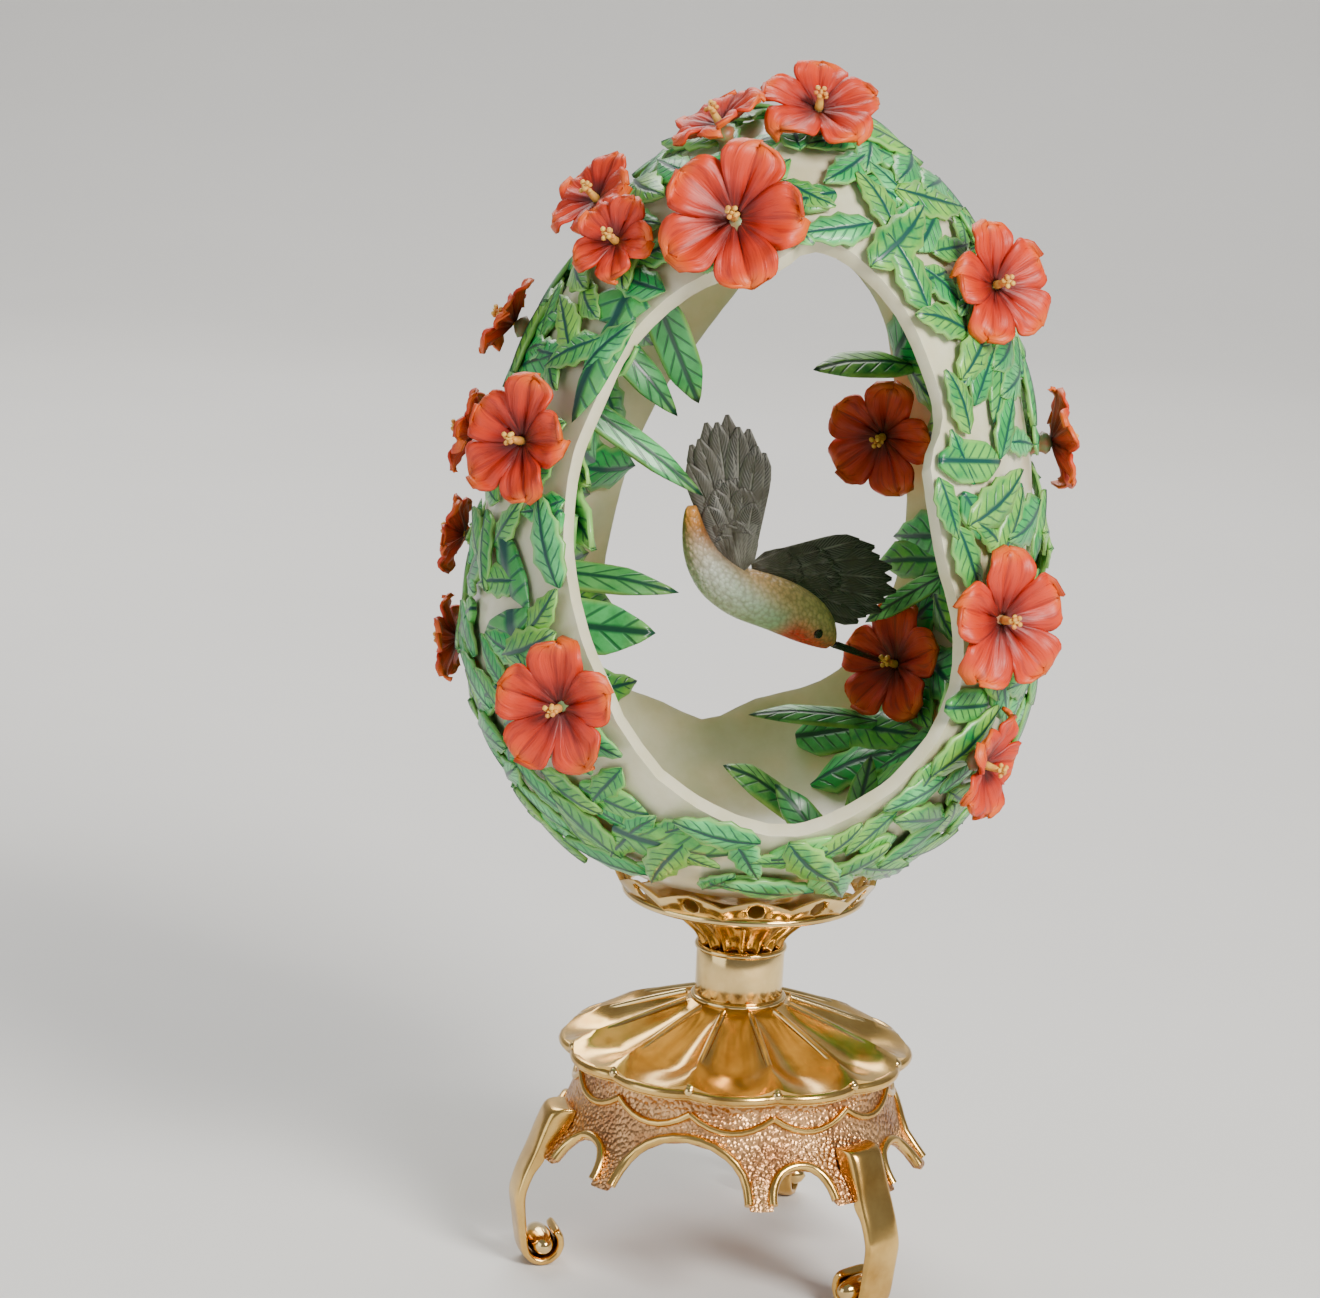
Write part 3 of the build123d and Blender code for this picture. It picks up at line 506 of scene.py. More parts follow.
feathers = bird_paint()
wing_feathers = wing_paint()
print(f"{feathers.name} and {wing_feathers.name} are mixed")


# %% [markdown]
# What is left are small even parts: yellow pollen, the calyx under a flower, and the dark enamel of the
# bird's bill and eyes. The mottle group alone is enough for them.

# %% Small finishes
def plain(name, first, second, scale, rough, metal=0.0, coat=0.0):
    paint = Paint(name)
    tone = paint.mottle(first, second, scale, bump=0.3)
    return paint.finish(tone.outputs["Colour"], tone.outputs["Normal"], Roughness=rough, Metallic=metal,
                        Coat_Weight=coat)


pollen = plain("Pollen yellow", colour(0.85, 0.56, 0.10), colour(0.70, 0.22, 0.04), scale=900.0, rough=0.5)
calyx_green = plain("Calyx green", colour(0.16, 0.26, 0.10), colour(0.36, 0.10, 0.04), scale=500.0,
                    rough=0.45)
dark_enamel = plain("Dark enamel", colour(0.02, 0.018, 0.016), colour(0.05, 0.03, 0.02), scale=600.0,
                    rough=0.2, coat=0.6)
print(f"{len(bpy.data.materials)} materials in all")


# %% [markdown]
# ## Refining the solids
# A solid's mesh arrives as loose triangles, which no bevel or subdivision can work on. So a copy is
# welded, and its pairs of triangles become quads again.

# %% Welding
merge_distance = 0.002 * MM
flat_angle, shape_angle = 4, 170


@contextmanager
def opened(mesh):
    """A mesh opened for editing, and written back at the end."""
    work = bmesh.new()
    work.from_mesh(mesh)
    yield work
    work.to_mesh(mesh)
    work.free()


def merge(work, distance):
    """Joins places that fall together, drops empty faces and turns the rest outwards."""
    bmesh.ops.remove_doubles(work, verts=work.verts, dist=distance)
    bmesh.ops.dissolve_degenerate(work, edges=work.edges, dist=distance)
    bmesh.ops.recalc_face_normals(work, faces=work.faces)


def welded(name):
    """A welded copy of a CAD node's mesh."""
    mesh = nodes[name].data.copy()
    with opened(mesh) as work:
        merge(work, merge_distance)
        bmesh.ops.join_triangles(work, faces=work.faces, angle_face_threshold=radians(flat_angle),
                                 angle_shape_threshold=radians(shape_angle))
    mesh.materials.clear()
    return mesh


print(f"Places closer than {merge_distance / MM:.3f} mm are joined")


# %% [markdown]
# Cast metal has no knife edges: a narrow bevel rounds them, and they catch the light. Leaves, legs and
# the bird have no flat faces at all, so they are made smooth all over by subdivision. A crease on every
# edge holds them near the solid's own form.

# %% Rounding and softening
bevel_angle, bevel_segments = 32.0, 2


def smooth_by_angle(mesh, angle):
    """Smooth shading, with edges sharper than the angle kept crisp."""
    mesh.shade_smooth()
    with opened(mesh) as work:
        for edge in work.edges:
            edge.smooth = len(edge.link_faces) != 2 or edge.calc_face_angle(0.0) < radians(angle)


def rounded(name, material, width, angle=bevel_angle, segments=bevel_segments):
    """A CAD node with its sharp edges rounded."""
    obj = add_object(f"{name}_fine", welded(name), [material])
    bevel = obj.modifiers.new("Rounded edges", "BEVEL")
    bevel.width, bevel.segments, bevel.angle_limit = width, segments, radians(angle)
    bevel.limit_method = "ANGLE"
    bevel.use_clamp_overlap = True
    baked(obj)
    smooth_by_angle(obj.data, angle)
    return obj


def softened(name, material, levels, crease):
    """A CAD node made smooth all over by subdivision, its edges held a little by a crease."""
    obj = add_object(f"{name}_fine", welded(name), [material])
    layer = obj.data.attributes.new("crease_edge", "FLOAT", "EDGE")
    layer.data.foreach_set("value", [crease] * len(obj.data.edges))
    rounding = obj.modifiers.new("Softened", "SUBSURF")
    rounding.levels = rounding.render_levels = levels
    baked(obj)
    obj.data.shade_smooth()
    return obj


print(f"Edges that turn more than {bevel_angle:.0f} degrees are rounded")


# %% [markdown]
# Several leaves share one mesh, and each has to be measured by itself. The parts that hang together are
# found by joining the ends of every edge into one family.

# %% Loose parts
def islands(mesh):
    """Lists of the vertex numbers that hang together."""
    parent = list(range(len(mesh.vertices)))

    def root(k):
        while parent[k] != k:
            parent[k] = parent[parent[k]]
            k = parent[k]
        return k

    for edge in mesh.edges:
        a, b = root(edge.vertices[0]), root(edge.vertices[1])
        parent[a] = b
    groups = {}
    for k in range(len(mesh.vertices)):
        groups.setdefault(root(k), []).append(k)
    return list(groups.values())


crown_parts = islands(nodes["leaves_crown"].data)
print(f"Before it is welded, the crown's mesh has {len(crown_parts)} loose parts")


# %% [markdown]
# The leaf paint needs to know where a place lies on its leaf. Each loose part of a mesh is measured: its
# longest way is the midrib, and its narrower end is the tip, unless the way to the tip is given.

# %% Measuring leaves
end_share = 0.12


def add_attribute(mesh, name, kind, values):
    layer = mesh.attributes.new(name, kind, "POINT")
    layer.data.foreach_set("vector" if kind == "FLOAT_VECTOR" else "value", values)


def place_along(mesh, seed, tail=None):
    """Writes leaf_place: along the longest way of each loose part, across it, and a chance number."""
    points = points_of(mesh)
    chance = np.random.default_rng(seed)
    values = np.zeros_like(points)
    for group in islands(mesh):
        own = points[group] - points[group].mean(axis=0)
        axes = np.linalg.svd(own, full_matrices=False)[2]
        along, across = own @ axes[0], own @ axes[1]
        low, high = along.min(), along.max()
        share = (along - low) / (high - low)
        near_width = np.abs(across[share < end_share]).mean()
        far_width = np.abs(across[share > 1 - end_share]).mean()
        turned = far_width > near_width if tail is None else axes[0] @ np.array(tail) < 0
        if turned:
            share = 1 - share
        if axes[1][2] < 0:
            across = -across
        half = np.abs(across).max()
        values[group] = np.column_stack([share, across / half, np.full(len(group), chance.random())])
    add_attribute(mesh, "leaf_place", "FLOAT_VECTOR", values.ravel())


print(f"The ends of a leaf are its outer {end_share:.0%} each")


# %% [markdown]
# ## The egg shell
# The real shell is cast, glazed and open at the front and back. Its solid's facets lie on a true egg, so
# no new mesh is needed: the window rims are rounded, and then the normals of the outer and inner faces
# are taken from the egg's formula, so that the glaze reflects like one smooth surface.

# %% Egg formula
egg_radius, egg_upper_height = 35.0 * MM, 63.4 * MM
shell_wall = 1.8 * MM
egg_lean, egg_shift = radians(3.5), -1.0 * MM
egg_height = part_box("egg_shell")[0].z + egg_radius
egg_seat = Matrix.Translation((egg_shift, 0, egg_height)) @ Matrix.Rotation(egg_lean, 4, "Y")


def egg_height_of(point, inset):
    """Height of a point over the shell's face, and the face's normal there, in the egg's own frame."""
    radius = egg_radius - inset
    height = (egg_upper_height if point.z > 0 else egg_radius) - inset
    share = sqrt((point.x ** 2 + point.y ** 2) / radius ** 2 + point.z ** 2 / height ** 2)
    slope = Vector((point.x / radius ** 2, point.y / radius ** 2, point.z / height ** 2)) / share
    return (share - 1) / slope.length, slope.normalized()


def egg_point(turn, rise, inset=0.0):
    radius = (egg_radius - inset) * cosd(rise)
    height = ((egg_upper_height if rise > 0 else egg_radius) - inset) * sind(rise)
    return Vector((radius * cosd(turn), -radius * sind(turn), height))


print(f"The egg's widest circle stands {egg_height / MM:.1f} mm high")


# %% [markdown]
# Only faces that lie on the egg and look straight out of it, or straight in, take the formula's normals.
# The cut faces of the windows keep their own.

# %% Egg shell
rim_round = 0.5 * MM
face_match = 0.9


def egg_shell():
    obj = rounded("egg_shell", cream, rim_round, angle=38.0, segments=3)
    mesh = obj.data
    mesh.shade_smooth()
    to_egg = egg_seat.inverted()
    turn_back = egg_seat.to_3x3()
    normals = [Vector(corner.vector) for corner in mesh.corner_normals]
    for face in mesh.polygons:
        middle = to_egg @ face.center
        for inset, sign in ((0.0, 1), (shell_wall, -1)):
            height, way_out = egg_height_of(middle, inset)
            facing = (turn_back @ way_out).dot(face.normal) * sign
            if abs(height) < rim_round and facing > face_match:
                for k in face.loop_indices:
                    spot = to_egg @ mesh.vertices[mesh.loops[k].vertex_index].co
                    normals[k] = turn_back @ egg_height_of(spot, inset)[1] * sign
    mesh.normals_split_custom_set(normals)
    return finish_piece(obj, "egg", "porcelain", "egg_shell")


print(f"The shell has {len(egg_shell().data.polygons)} faces")


# %% [markdown]
# ## Leaves
# The real leaves are thin cast blades, set on the shell by hand and painted. Their solids are plain
# ribbed blades already in place, so softening gives the cast look at little cost, and measuring them
# lets the paint draw their veins. Those on the inner wall and free inside take a paint of their own.

# %% Leaves
leaf_finishes = {"leaves_": (relief_green, "leaf_glaze"), "inner_wall_leaves": (free_green, "leaf_glaze"),
                 "free_leaf": (free_green, "free_leaf_glaze")}


def leaf_piece(name, material, slot_name, seed):
    obj = softened(name, material, levels=2, crease=0.45)
    place_along(obj.data, seed)
    return finish_piece(obj, "egg", slot_name, name)


leaf_count = 0
for seed, name in enumerate(sorted(nodes)):
    for start, (material, slot_name) in leaf_finishes.items():
        if name.startswith(start):
            leaf_piece(name, material, slot_name, seed)
            leaf_count += 1
print(f"{leaf_count} pieces of modelled leaves are refined")


# %% [markdown]
# ## Flowers
# A flower is five ruffled petals, a column of pollen and a calyx that roots it on the shell. Its petals
# are thin curved sheets and its heart is a few turned rods. Both are grids of points from a formula, so a
# small class collects grids, with the places that the paint reads, and turns them into one mesh.

# %% Sheet of grids
class Sheet:
    """Collects points, faces, paint places and material numbers of one mesh."""

    def __init__(self):
        self.points, self.faces, self.places, self.kinds = [], [], [], []

    def grid(self, rows, kind=0, is_ring=False):
        """Adds rows of (point, place); a ring's rows close on themselves."""
        start, width = len(self.points), len(rows[0])
        for row in rows:
            for point, place in row:
                self.points.append(point)
                self.places.append(place)
        for i in range(len(rows) - 1):
            for j in range(width if is_ring else width - 1):
                a, b = start + i * width + j, start + i * width + (j + 1) % width
                self.faces.append((a, b, b + width, a + width))
                self.kinds.append(kind)

    def mesh(self, name, is_closed=False):
        """The mesh; a closed one has its poles merged and its faces turned outwards."""
        made = bpy.data.meshes.new(name)
        made.from_pydata(self.points, [], self.faces)
        made.polygons.foreach_set("material_index", self.kinds)
        add_attribute(made, "leaf_place", "FLOAT_VECTOR", [c for place in self.places for c in place])
        if is_closed:
            with opened(made) as work:
                merge(work, merge_distance / 10)
        made.shade_smooth()
        return made


trial = Sheet()
trial.grid([[(Vector((x, y, 0)), (x, y, 0)) for x in range(3)] for y in range(3)])
print(f"A grid of 3 rows of 3 points has {len(trial.faces)} faces")


# %% [markdown]
# A petal, feather or leaf is a sheet that gets the wall of a thin casting. Stems, pollen and balls are
# rods whose radius follows a list, as if turned on a lathe; a radius of 0 closes an end to a pole.

# %% Walls and rods
def with_wall(obj, thickness, offset):
    """A sheet given the thickness of a cast wall."""
    wall = obj.modifiers.new("Wall", "SOLIDIFY")
    wall.thickness, wall.offset = thickness, offset
    return baked(obj)


def rod_rows(start, end, radii, sides=10):
    """A round rod between two points whose radius follows the list; a radius of 0 closes an end."""
    axis = (end - start).normalized()
    side = axis.orthogonal().normalized()
    over = axis.cross(side)
    rows = []
    for i, radius in enumerate(radii):
        middle = start.lerp(end, i / (len(radii) - 1))
        row = []
        for k in range(sides):
            a = 2 * pi * k / sides
            row.append((middle + (side * cos(a) + over * sin(a)) * radius, (0, 0, 0)))
        rows.append(row)
    return rows


print(f"A rod of 3 rings has {sum(len(row) for row in rod_rows(Vector(), up_axis, (0, 1, 0)))} points")


# %% [markdown]
# Each flower has a seat on the egg and a face that looks its own way, as hand-set flowers do. Those on
# the inner wall are seated from the other side, so their way up from the wall points inwards.

# %% Flower seats
flower_radius, flower_lift = 8.6 * MM, 4.2 * MM

# Each row: turn and rise of the seat, size share, turn and rise of the face, and spin of the petals.
outer_flower_places = [
    (84, 79, 0.95, 88, 56, 90), (110, 54, 1.12, 100, 22, 78), (141, 70, 0.74, 165, 55, 60),
    (168, 51, 0.76, 150, 38, 100), (143, 47, 0.68, 125, 26, 80), (184, 31, 0.66, 192, 26, 95),
    (147, 21, 0.96, 128, 12, 84), (186, 17, 0.66, 188, 10, 70), (126, -9, 1.0, 115, 2, 96),
    (194, -13, 0.66, 192, -8, 90), (196, 4, 0.62, 196, 6, 60), (28, 46, 0.92, 54, 22, 100),
    (351, 23, 0.78, 352, 12, 80), (40, 8, 1.05, 56, 8, 94), (38, -14, 0.84, 26, -6, 70),
    (244, 26, 0.7, 250, 20, 90), (228, -4, 0.66, 232, 0, 70), (227, -22, 0.6, 230, -16, 90),
]
inner_flower_places = [(303, 20, 0.92, 112, -8, 80), (315, -17, 0.94, 128, 16, 100)]


class Seat:
    """Where a flower sits: its root on the shell, its centre over it, and the axes of its face."""

    def __init__(self, inset, turn, rise, size_share, face_turn, face_rise, spin):
        self.inset, self.turn, self.spin = inset, turn, spin
        self.facing = -1 if inset else 1
        self.size = flower_radius * size_share
        self.root = egg_point(turn, rise, inset)
        self.up = egg_height_of(self.root, inset)[1] * self.facing
        self.centre = self.root + self.up * flower_lift
        self.face = way(face_turn, face_rise)
        self.aside = up_axis.cross(self.face).normalized()
        self.over = self.face.cross(self.aside)


flower_seats = [Seat(0.0, *row) for row in outer_flower_places]
flower_seats += [Seat(shell_wall, *row) for row in inner_flower_places]
print(f"{len(flower_seats)} seats, {len(inner_flower_places)} of them on the inner wall")


# %% [markdown]
# A petal is a grid that runs out of the throat. It widens to a round end, and its height over the face
# adds a cup, a crease along its middle, soft folds, a waved edge and a slight lap over its neighbour. A
# formula in shares of the length and width gives every flower this shape at its own size.

# %% Petal shape
def petal_half_width(u):
    """Half the width of a petal at a share of its length, as a share of the flower's radius."""
    grown = 0.09 + 0.33 * sin(min(u / 0.72, 1.0) * pi / 2) ** 1.3
    return grown * sqrt(max(0.0, 1 - max(0.0, (u - 0.62) / 0.38) ** 2.4))


def petal_height(u, v, wave):
    """Height over the flower's face at a share along and across, as a share of the flower's radius."""
    cup = -0.13 + 0.26 * sin(u * pi * 0.62) - 0.07 * u ** 4
    crease = 0.12 * (1 - abs(v)) ** 2 * sin(pi * min(u * 1.1, 1.0))
    fold = 0.028 * sin(pi * u) * cos(v * 9 + wave)
    ruffle = (0.09 * u ** 2 * abs(v) ** 1.5 * sin(u * 13 + wave + v * 2)
              + 0.035 * u ** 4 * sin(v * 8 + wave))
    lap = 0.05 * v * u
    return cup - crease + fold + ruffle + lap


print(f"A petal is widest, {max(petal_half_width(i / 20) for i in range(21)):.2f} of the radius each way")


# %% [markdown]
# The grid carries this shape to a seat, with a shallow notch in its end. Five petals turn round the
# face, not all equally long, and where one would cut into the shell it is lifted clear. The paint places
# go in with the points. A wall then turns each sheet into a thin casting.

# %% Petal grids
petal_air, petal_sheet = 1.5 * MM, 0.45 * MM
petal_count = 5
petal_rows, petal_columns = 16, 12
petal_reach_shares = (1.0, 0.92, 0.98, 0.98, 0.92)


def petal_grid(seat, k):
    angle = seat.spin + 360 * k / petal_count
    along = seat.aside * cosd(angle) + seat.over * sind(angle)
    side = seat.face.cross(along)
    length, wave = seat.size * petal_reach_shares[k], k * 2.3 + seat.turn
    rows = []
    for i in range(petal_rows + 1):
        u = i / petal_rows
        half = seat.size * petal_half_width(u)
        row = []
        for j in range(petal_columns + 1):
            v = 2 * j / petal_columns - 1
            notch = 0.075 * u ** 6 * (1 - abs(v)) ** 1.5
            point = (seat.centre + along * (length * (0.08 + 0.90 * u - notch)) + side * (half * v)
                     + seat.face * (seat.size * petal_height(u, v, wave)))
            height, normal = egg_height_of(point, seat.inset)
            lack = petal_air - height * seat.facing
            if lack > 0 and u > 0.2:
                point = point + seat.face * (lack / max(0.45, seat.face.dot(normal * seat.facing)))
            row.append((point, (u, v, wave % 1)))
        rows.append(row)
    return rows


def petals_of(name, seat):
    sheet = Sheet()
    for k in range(petal_count):
        sheet.grid(petal_grid(seat, k))
    return with_wall(add_object(f"{name}_petals", sheet.mesh(name), [petal_coral]), petal_sheet, -1.0)


print(f"A petal has {petal_rows * petal_columns} faces before it gets its wall")


# %% [markdown]
# The heart of the flower is a column with seven grains of pollen round it, and under the petals a calyx
# that flares from the shell. Each is a rod whose radius follows a short list, as if turned on a lathe.

# %% Hearts
column_length, column_root = 2.6 * MM, 1.1 * MM
column_radii = [0.0, 0.55 * MM, 0.5 * MM, 0.42 * MM, 0.40 * MM, 0.25 * MM, 0.0]
pollen_radius, pollen_ring = 0.34 * MM, 0.6 * MM
pollen_radii = [0.0, 0.8 * pollen_radius, pollen_radius, 0.8 * pollen_radius, 0.0]
pollen_count, pollen_turns = 7, 1.62
calyx_rise, calyx_sink, calyx_gap = 0.05 * MM, 0.6 * MM, 0.6 * MM
calyx_radii = [0.0, 1.5 * MM, 1.2 * MM, 1.0 * MM, 1.1 * MM, 1.5 * MM]
calyx_rim_share = 0.17


def heart_of(name, seat):
    core = Sheet()
    tip = seat.centre + seat.face * column_length
    core.grid(rod_rows(seat.centre - seat.face * column_root, tip, column_radii), 0, is_ring=True)
    for k in range(pollen_count):
        a = 2 * pi * k / pollen_count * pollen_turns
        spot = (seat.centre + seat.face * (column_length * (0.55 + 0.42 * k / pollen_count))
                + (seat.aside * cos(a) + seat.over * sin(a)) * pollen_ring)
        reach = seat.face * pollen_radius
        core.grid(rod_rows(spot - reach, spot + reach, pollen_radii, 8), 0, is_ring=True)
    low = seat.root + seat.up * calyx_rise - seat.up * calyx_sink
    flare = calyx_radii + [seat.size * calyx_rim_share, 0.0]
    core.grid(rod_rows(low, seat.centre - seat.face * calyx_gap, flare, 14), 1, is_ring=True)
    return add_object(f"{name}_heart", core.mesh(name, is_closed=True), [pollen, calyx_green])


for number, seat in enumerate(flower_seats, start=1):
    name = f"flower_{number:02d}"
    petals, heart = petals_of(name, seat), heart_of(name, seat)
    for part in (petals, heart):
        part.data.transform(egg_seat)
        part.data.update()
    finish_piece(heart, "egg", "flower_glaze")
    finish_piece(petals, "egg", "flower_glaze", name)
print(f"{number} flowers of {petal_count} petals")


# %% [markdown]
# ## The bird
# The solid of the body is a skin of flat facets over rings. Subdivision alone gives it the roundness of
# a cast and painted figure, so it is softened with no crease, and measured from tail to head.

# %% Bird body
tail_to_head = (0.8, 0.0, -0.6)
bird = softened("bird_body", feathers, levels=2, crease=0.0)
place_along(bird.data, seed=1, tail=tail_to_head)
finish_piece(bird, "egg", "bird_glaze", "bird_body")
print(f"The bird's body has {len(bird.data.polygons)} faces")


# %% [markdown]
# A feather is a curved blade that widens from the shoulder, ends round, droops towards its tip and
# rises a little along its quill.

# %% Feathers
feather_rows, feather_columns = 10, 4
quill_lift = 0.1 * MM


def feather_grid(root, axes, own, half_width, lift, droop):
    along, side, over = axes
    rows = []
    for i in range(feather_rows + 1):
        u = i / feather_rows
        widened = half_width * (0.4 + 0.6 * min(1.0, u * 2.5))
        half = widened * sqrt(max(0.02, 1 - max(0.0, (u - 0.7) / 0.3) ** 2))
        spine = root + along * (own * u)
        row = []
        for v in np.linspace(-1, 1, feather_columns + 1):
            raised = over * (lift - droop * u * u) + over * (quill_lift * (1 - abs(v)))
            row.append((spine + side * (half * v) + raised, (u, v, 0.0)))
        rows.append(row)
    return rows


print(f"A feather has {feather_rows * feather_columns} faces before it gets its wall")


# %% [markdown]
# A wing is three layers of feathers that fan out of the shoulder and lap over each other like tiles. The
# solid wing gives the shoulder, the way out and the length, found as the longest way through its points.

# %% Wings
feather_sheet = 0.22 * MM
layer_lift, lap_lift = 0.35 * MM, 0.12 * MM

# Each row: a layer's reach as a share of the wing, its number of feathers, and a feather's half width.
feather_layer_shares = [(1.0, 10, 0.075), (0.62, 9, 0.075), (0.36, 8, 0.08)]


def wing(name, outward, fan):
    """Lapping feathers that fan out of the shoulder, as long as the CAD wing of that name."""
    points = points_of(nodes[name].data)
    middle = points.mean(axis=0)
    axes = np.linalg.svd(points - middle, full_matrices=False)[2]
    ahead = axes[0] * (1 if axes[0] @ np.array(outward) > 0 else -1)
    reach = (points - middle) @ ahead
    root, length = Vector(middle + ahead * reach.min()), float(reach.max() - reach.min())
    ahead, across = Vector(ahead), Vector(axes[1])
    over = ahead.cross(across).normalized()
    sheet = Sheet()
    for layer, (reach_share, count, width_share) in enumerate(feather_layer_shares):
        for k in range(count):
            share = 2 * k / (count - 1) - 1
            along = ahead * cos(fan * share) + across * sin(fan * share)
            own = length * reach_share * (1 - 0.22 * abs(share) ** 1.5) * (0.96 + 0.04 * (k % 2))
            lift = layer_lift * layer + lap_lift * (k % 2)
            sheet.grid(feather_grid(root, (along, over.cross(along), over), own, length * width_share,
                                    lift, length * 0.05))
    made = with_wall(add_object(f"{name}_feathers", sheet.mesh(name), [wing_feathers]), feather_sheet, 0.0)
    return finish_piece(made, "egg", "bird_glaze", name)


for name, outward, fan in (("bird_left_wing", (0, 0, 1), radians(17)),
                           ("bird_right_wing", (1, 0, 0), radians(20))):
    print(f"{name} has {len(wing(name, outward, fan).data.polygons)} faces")


# %% [markdown]
# The bill is a thin tapered spike, softened; the eyes are small drops of enamel with rounded edges.

# %% Bill and eyes
eye_round = 0.12 * MM
bill = finish_piece(softened("bird_bill", dark_enamel, levels=1, crease=0.3), "egg", "bird_dark",
                    "bird_bill")
eyes = finish_piece(rounded("bird_eyes", dark_enamel, eye_round, segments=3), "egg", "bird_dark",
                    "bird_eyes")
print(f"Bill {len(bill.data.polygons)} faces, eyes {len(eyes.data.polygons)} faces")


# %% [markdown]
# ## Metal pieces
# The stand is cast and spun metal. Its plain pieces keep the solids' form, with edges rounded just enough
# to catch the light. The cup and the scrolled legs have no flat faces, so those are softened instead.

# %% Stand
for name, material, slot_name, width in (
        ("base_skirt", rose_gold, "rose_gilt", 0.3 * MM), ("collar", pale_gold, "polished_gilt", 0.3 * MM),
        ("gallery", pale_gold, "polished_gilt", 0.2 * MM), ("washer", steel, "steel", 0.1 * MM),
        ("nut", steel, "steel", 0.2 * MM), ("tie_rod", steel, "steel", 0.2 * MM)):
    finish_piece(rounded(name, material, width), "stand", slot_name, name)

for name, material, slot_name, crease in (
        ("cup", pale_gold, "polished_gilt", 0.35), ("leg_1", gold, "gilt", 0.3),
        ("leg_2", gold, "gilt", 0.3), ("leg_3", gold, "gilt", 0.3)):
    made = finish_piece(softened(name, material, 3, crease), "stand", slot_name, name)
    print(f"{name} has {len(made.data.polygons)} faces")


# %% [markdown]
# A ball sits in the eye of each foot's scroll. The solid there is a plain button, which gives its place,
# its axis and its height; the ball is a turned rod that swells a little past the button's ends.

# %% Foot balls
ball_swell = 1.25
ball_rings = 16


def foot_balls():
    sheet, buttons = Sheet(), welded("foot_buttons")
    for group in islands(buttons):
        points = np.array([buttons.vertices[k].co for k in group])
        middle = Vector((points.min(axis=0) + points.max(axis=0)) / 2)
        aside = up_axis.cross(middle).normalized()
        reach = max(abs((Vector(p) - middle).dot(aside)) for p in points) * ball_swell
        radius = max(p[2] for p in points) - middle.z
        curve = [radius * sqrt(max(0.0, 1 - (2 * k / ball_rings - 1) ** 2)) for k in range(ball_rings + 1)]
        sheet.grid(rod_rows(middle - aside * reach, middle + aside * reach, curve, 24), is_ring=True)
    obj = add_object("foot_balls", sheet.mesh("foot_balls", is_closed=True), [pale_gold])
    return finish_piece(obj, "stand", "gilt", "foot_buttons")


print(f"The foot balls have {len(foot_balls().data.polygons)} faces")


# %% [markdown]
# The dome is spun and fluted: hollows between round ridges spread from the crown to the scalloped lip. It
# follows a rule in both directions, so it is one ring-shaped grid of turn and share of the way up. The
# grid is closed underneath and round the bore of the rod.

# %% Dome
stand_turn = 46.0
dome_low, dome_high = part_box("dome")
dome_depth = dome_high.z - dome_low.z
dome_radius, dome_lobe_rise, dome_lobe_count = 21.1 * MM, 1.1 * MM, 12
dome_steps_round, dome_steps_up = 12, 14
flute_depth, lip_height, lip_wave = 2.3 * MM, 1.2 * MM, 0.9 * MM
crown_radius, least_height = 6.2 * MM, 0.2 * MM
rod_low, rod_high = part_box("tie_rod")
rod_bore = (rod_high.x - rod_low.x) / 2 + 0.15 * MM


def dome_rise(share):
    """Height of a ridge over the dome's foot at a share of the way to the crown."""
    return lip_height + (dome_depth - lip_height) * share ** 0.82


def dome():
    sheet, rows = Sheet(), []
    for i in range(dome_steps_up + 1):
        share = i / dome_steps_up
        row = []
        for k in range(dome_lobe_count * dome_steps_round):
            across = 2 * (k % dome_steps_round) / dome_steps_round - 1
            bulge = 1 - across ** 2
            rim = dome_radius + dome_lobe_rise * bulge
            radius = rim + (crown_radius - rim) * share
            dip = flute_depth * (1 - share) ** 0.5 * min(1.0, share * 2.8) * (1 - abs(across) ** 2.2)
            height = max(least_height, dome_rise(share) - dip + lip_wave * (1 - share) * (1 - bulge))
            spot = way(stand_turn + 360 * k / (dome_lobe_count * dome_steps_round)) * radius
            row.append((spot + up_axis * (dome_low.z + min(height, dome_depth)), (0, 0, 0)))
        rows.append(row)
    foot = [(Vector((p.x, p.y, dome_low.z)), place) for p, place in rows[0]]
    bores = []
    for height in (dome_low.z, dome_high.z):
        bores.append([(Vector((p.x, p.y, 0)).normalized() * rod_bore + up_axis * height, place)
                      for p, place in rows[0]])
    sheet.grid([bores[1], bores[0], foot] + rows + [bores[1]], is_ring=True)
    obj = add_object("dome_flutes", sheet.mesh("dome_flutes", is_closed=True), [gold])
    smooth_by_angle(obj.data, 50.0)
    return finish_piece(obj, "stand", "gilt", "dome")


print(f"The dome has {dome_lobe_count} flutes and {len(dome().data.polygons)} faces")


# %% [markdown]
# ## Cords and beads
# Raised round cords run along the stand's edges and ridges, and a bead ends each ridge of the dome. Both
# follow paths, which is work for Geometry Nodes: one tree sweeps a round profile along a path, another
# sets balls along it. Copies are made real at the end, because the export drops instances.

# %% Cord and bead trees
def node_tree(name, *inputs):
    """A tree with a geometry input and output, and the named inputs."""
    tree = bpy.data.node_groups.new(name, "GeometryNodeTree")
    for label, kind in (("Geometry", "Geometry"), *inputs):
        tree.interface.new_socket(label, in_out="INPUT", socket_type=f"NodeSocket{kind}")
    tree.interface.new_socket("Geometry", in_out="OUTPUT", socket_type="NodeSocketGeometry")
    return tree, *add_nodes(tree, "NodeGroup", "Input", "Output")


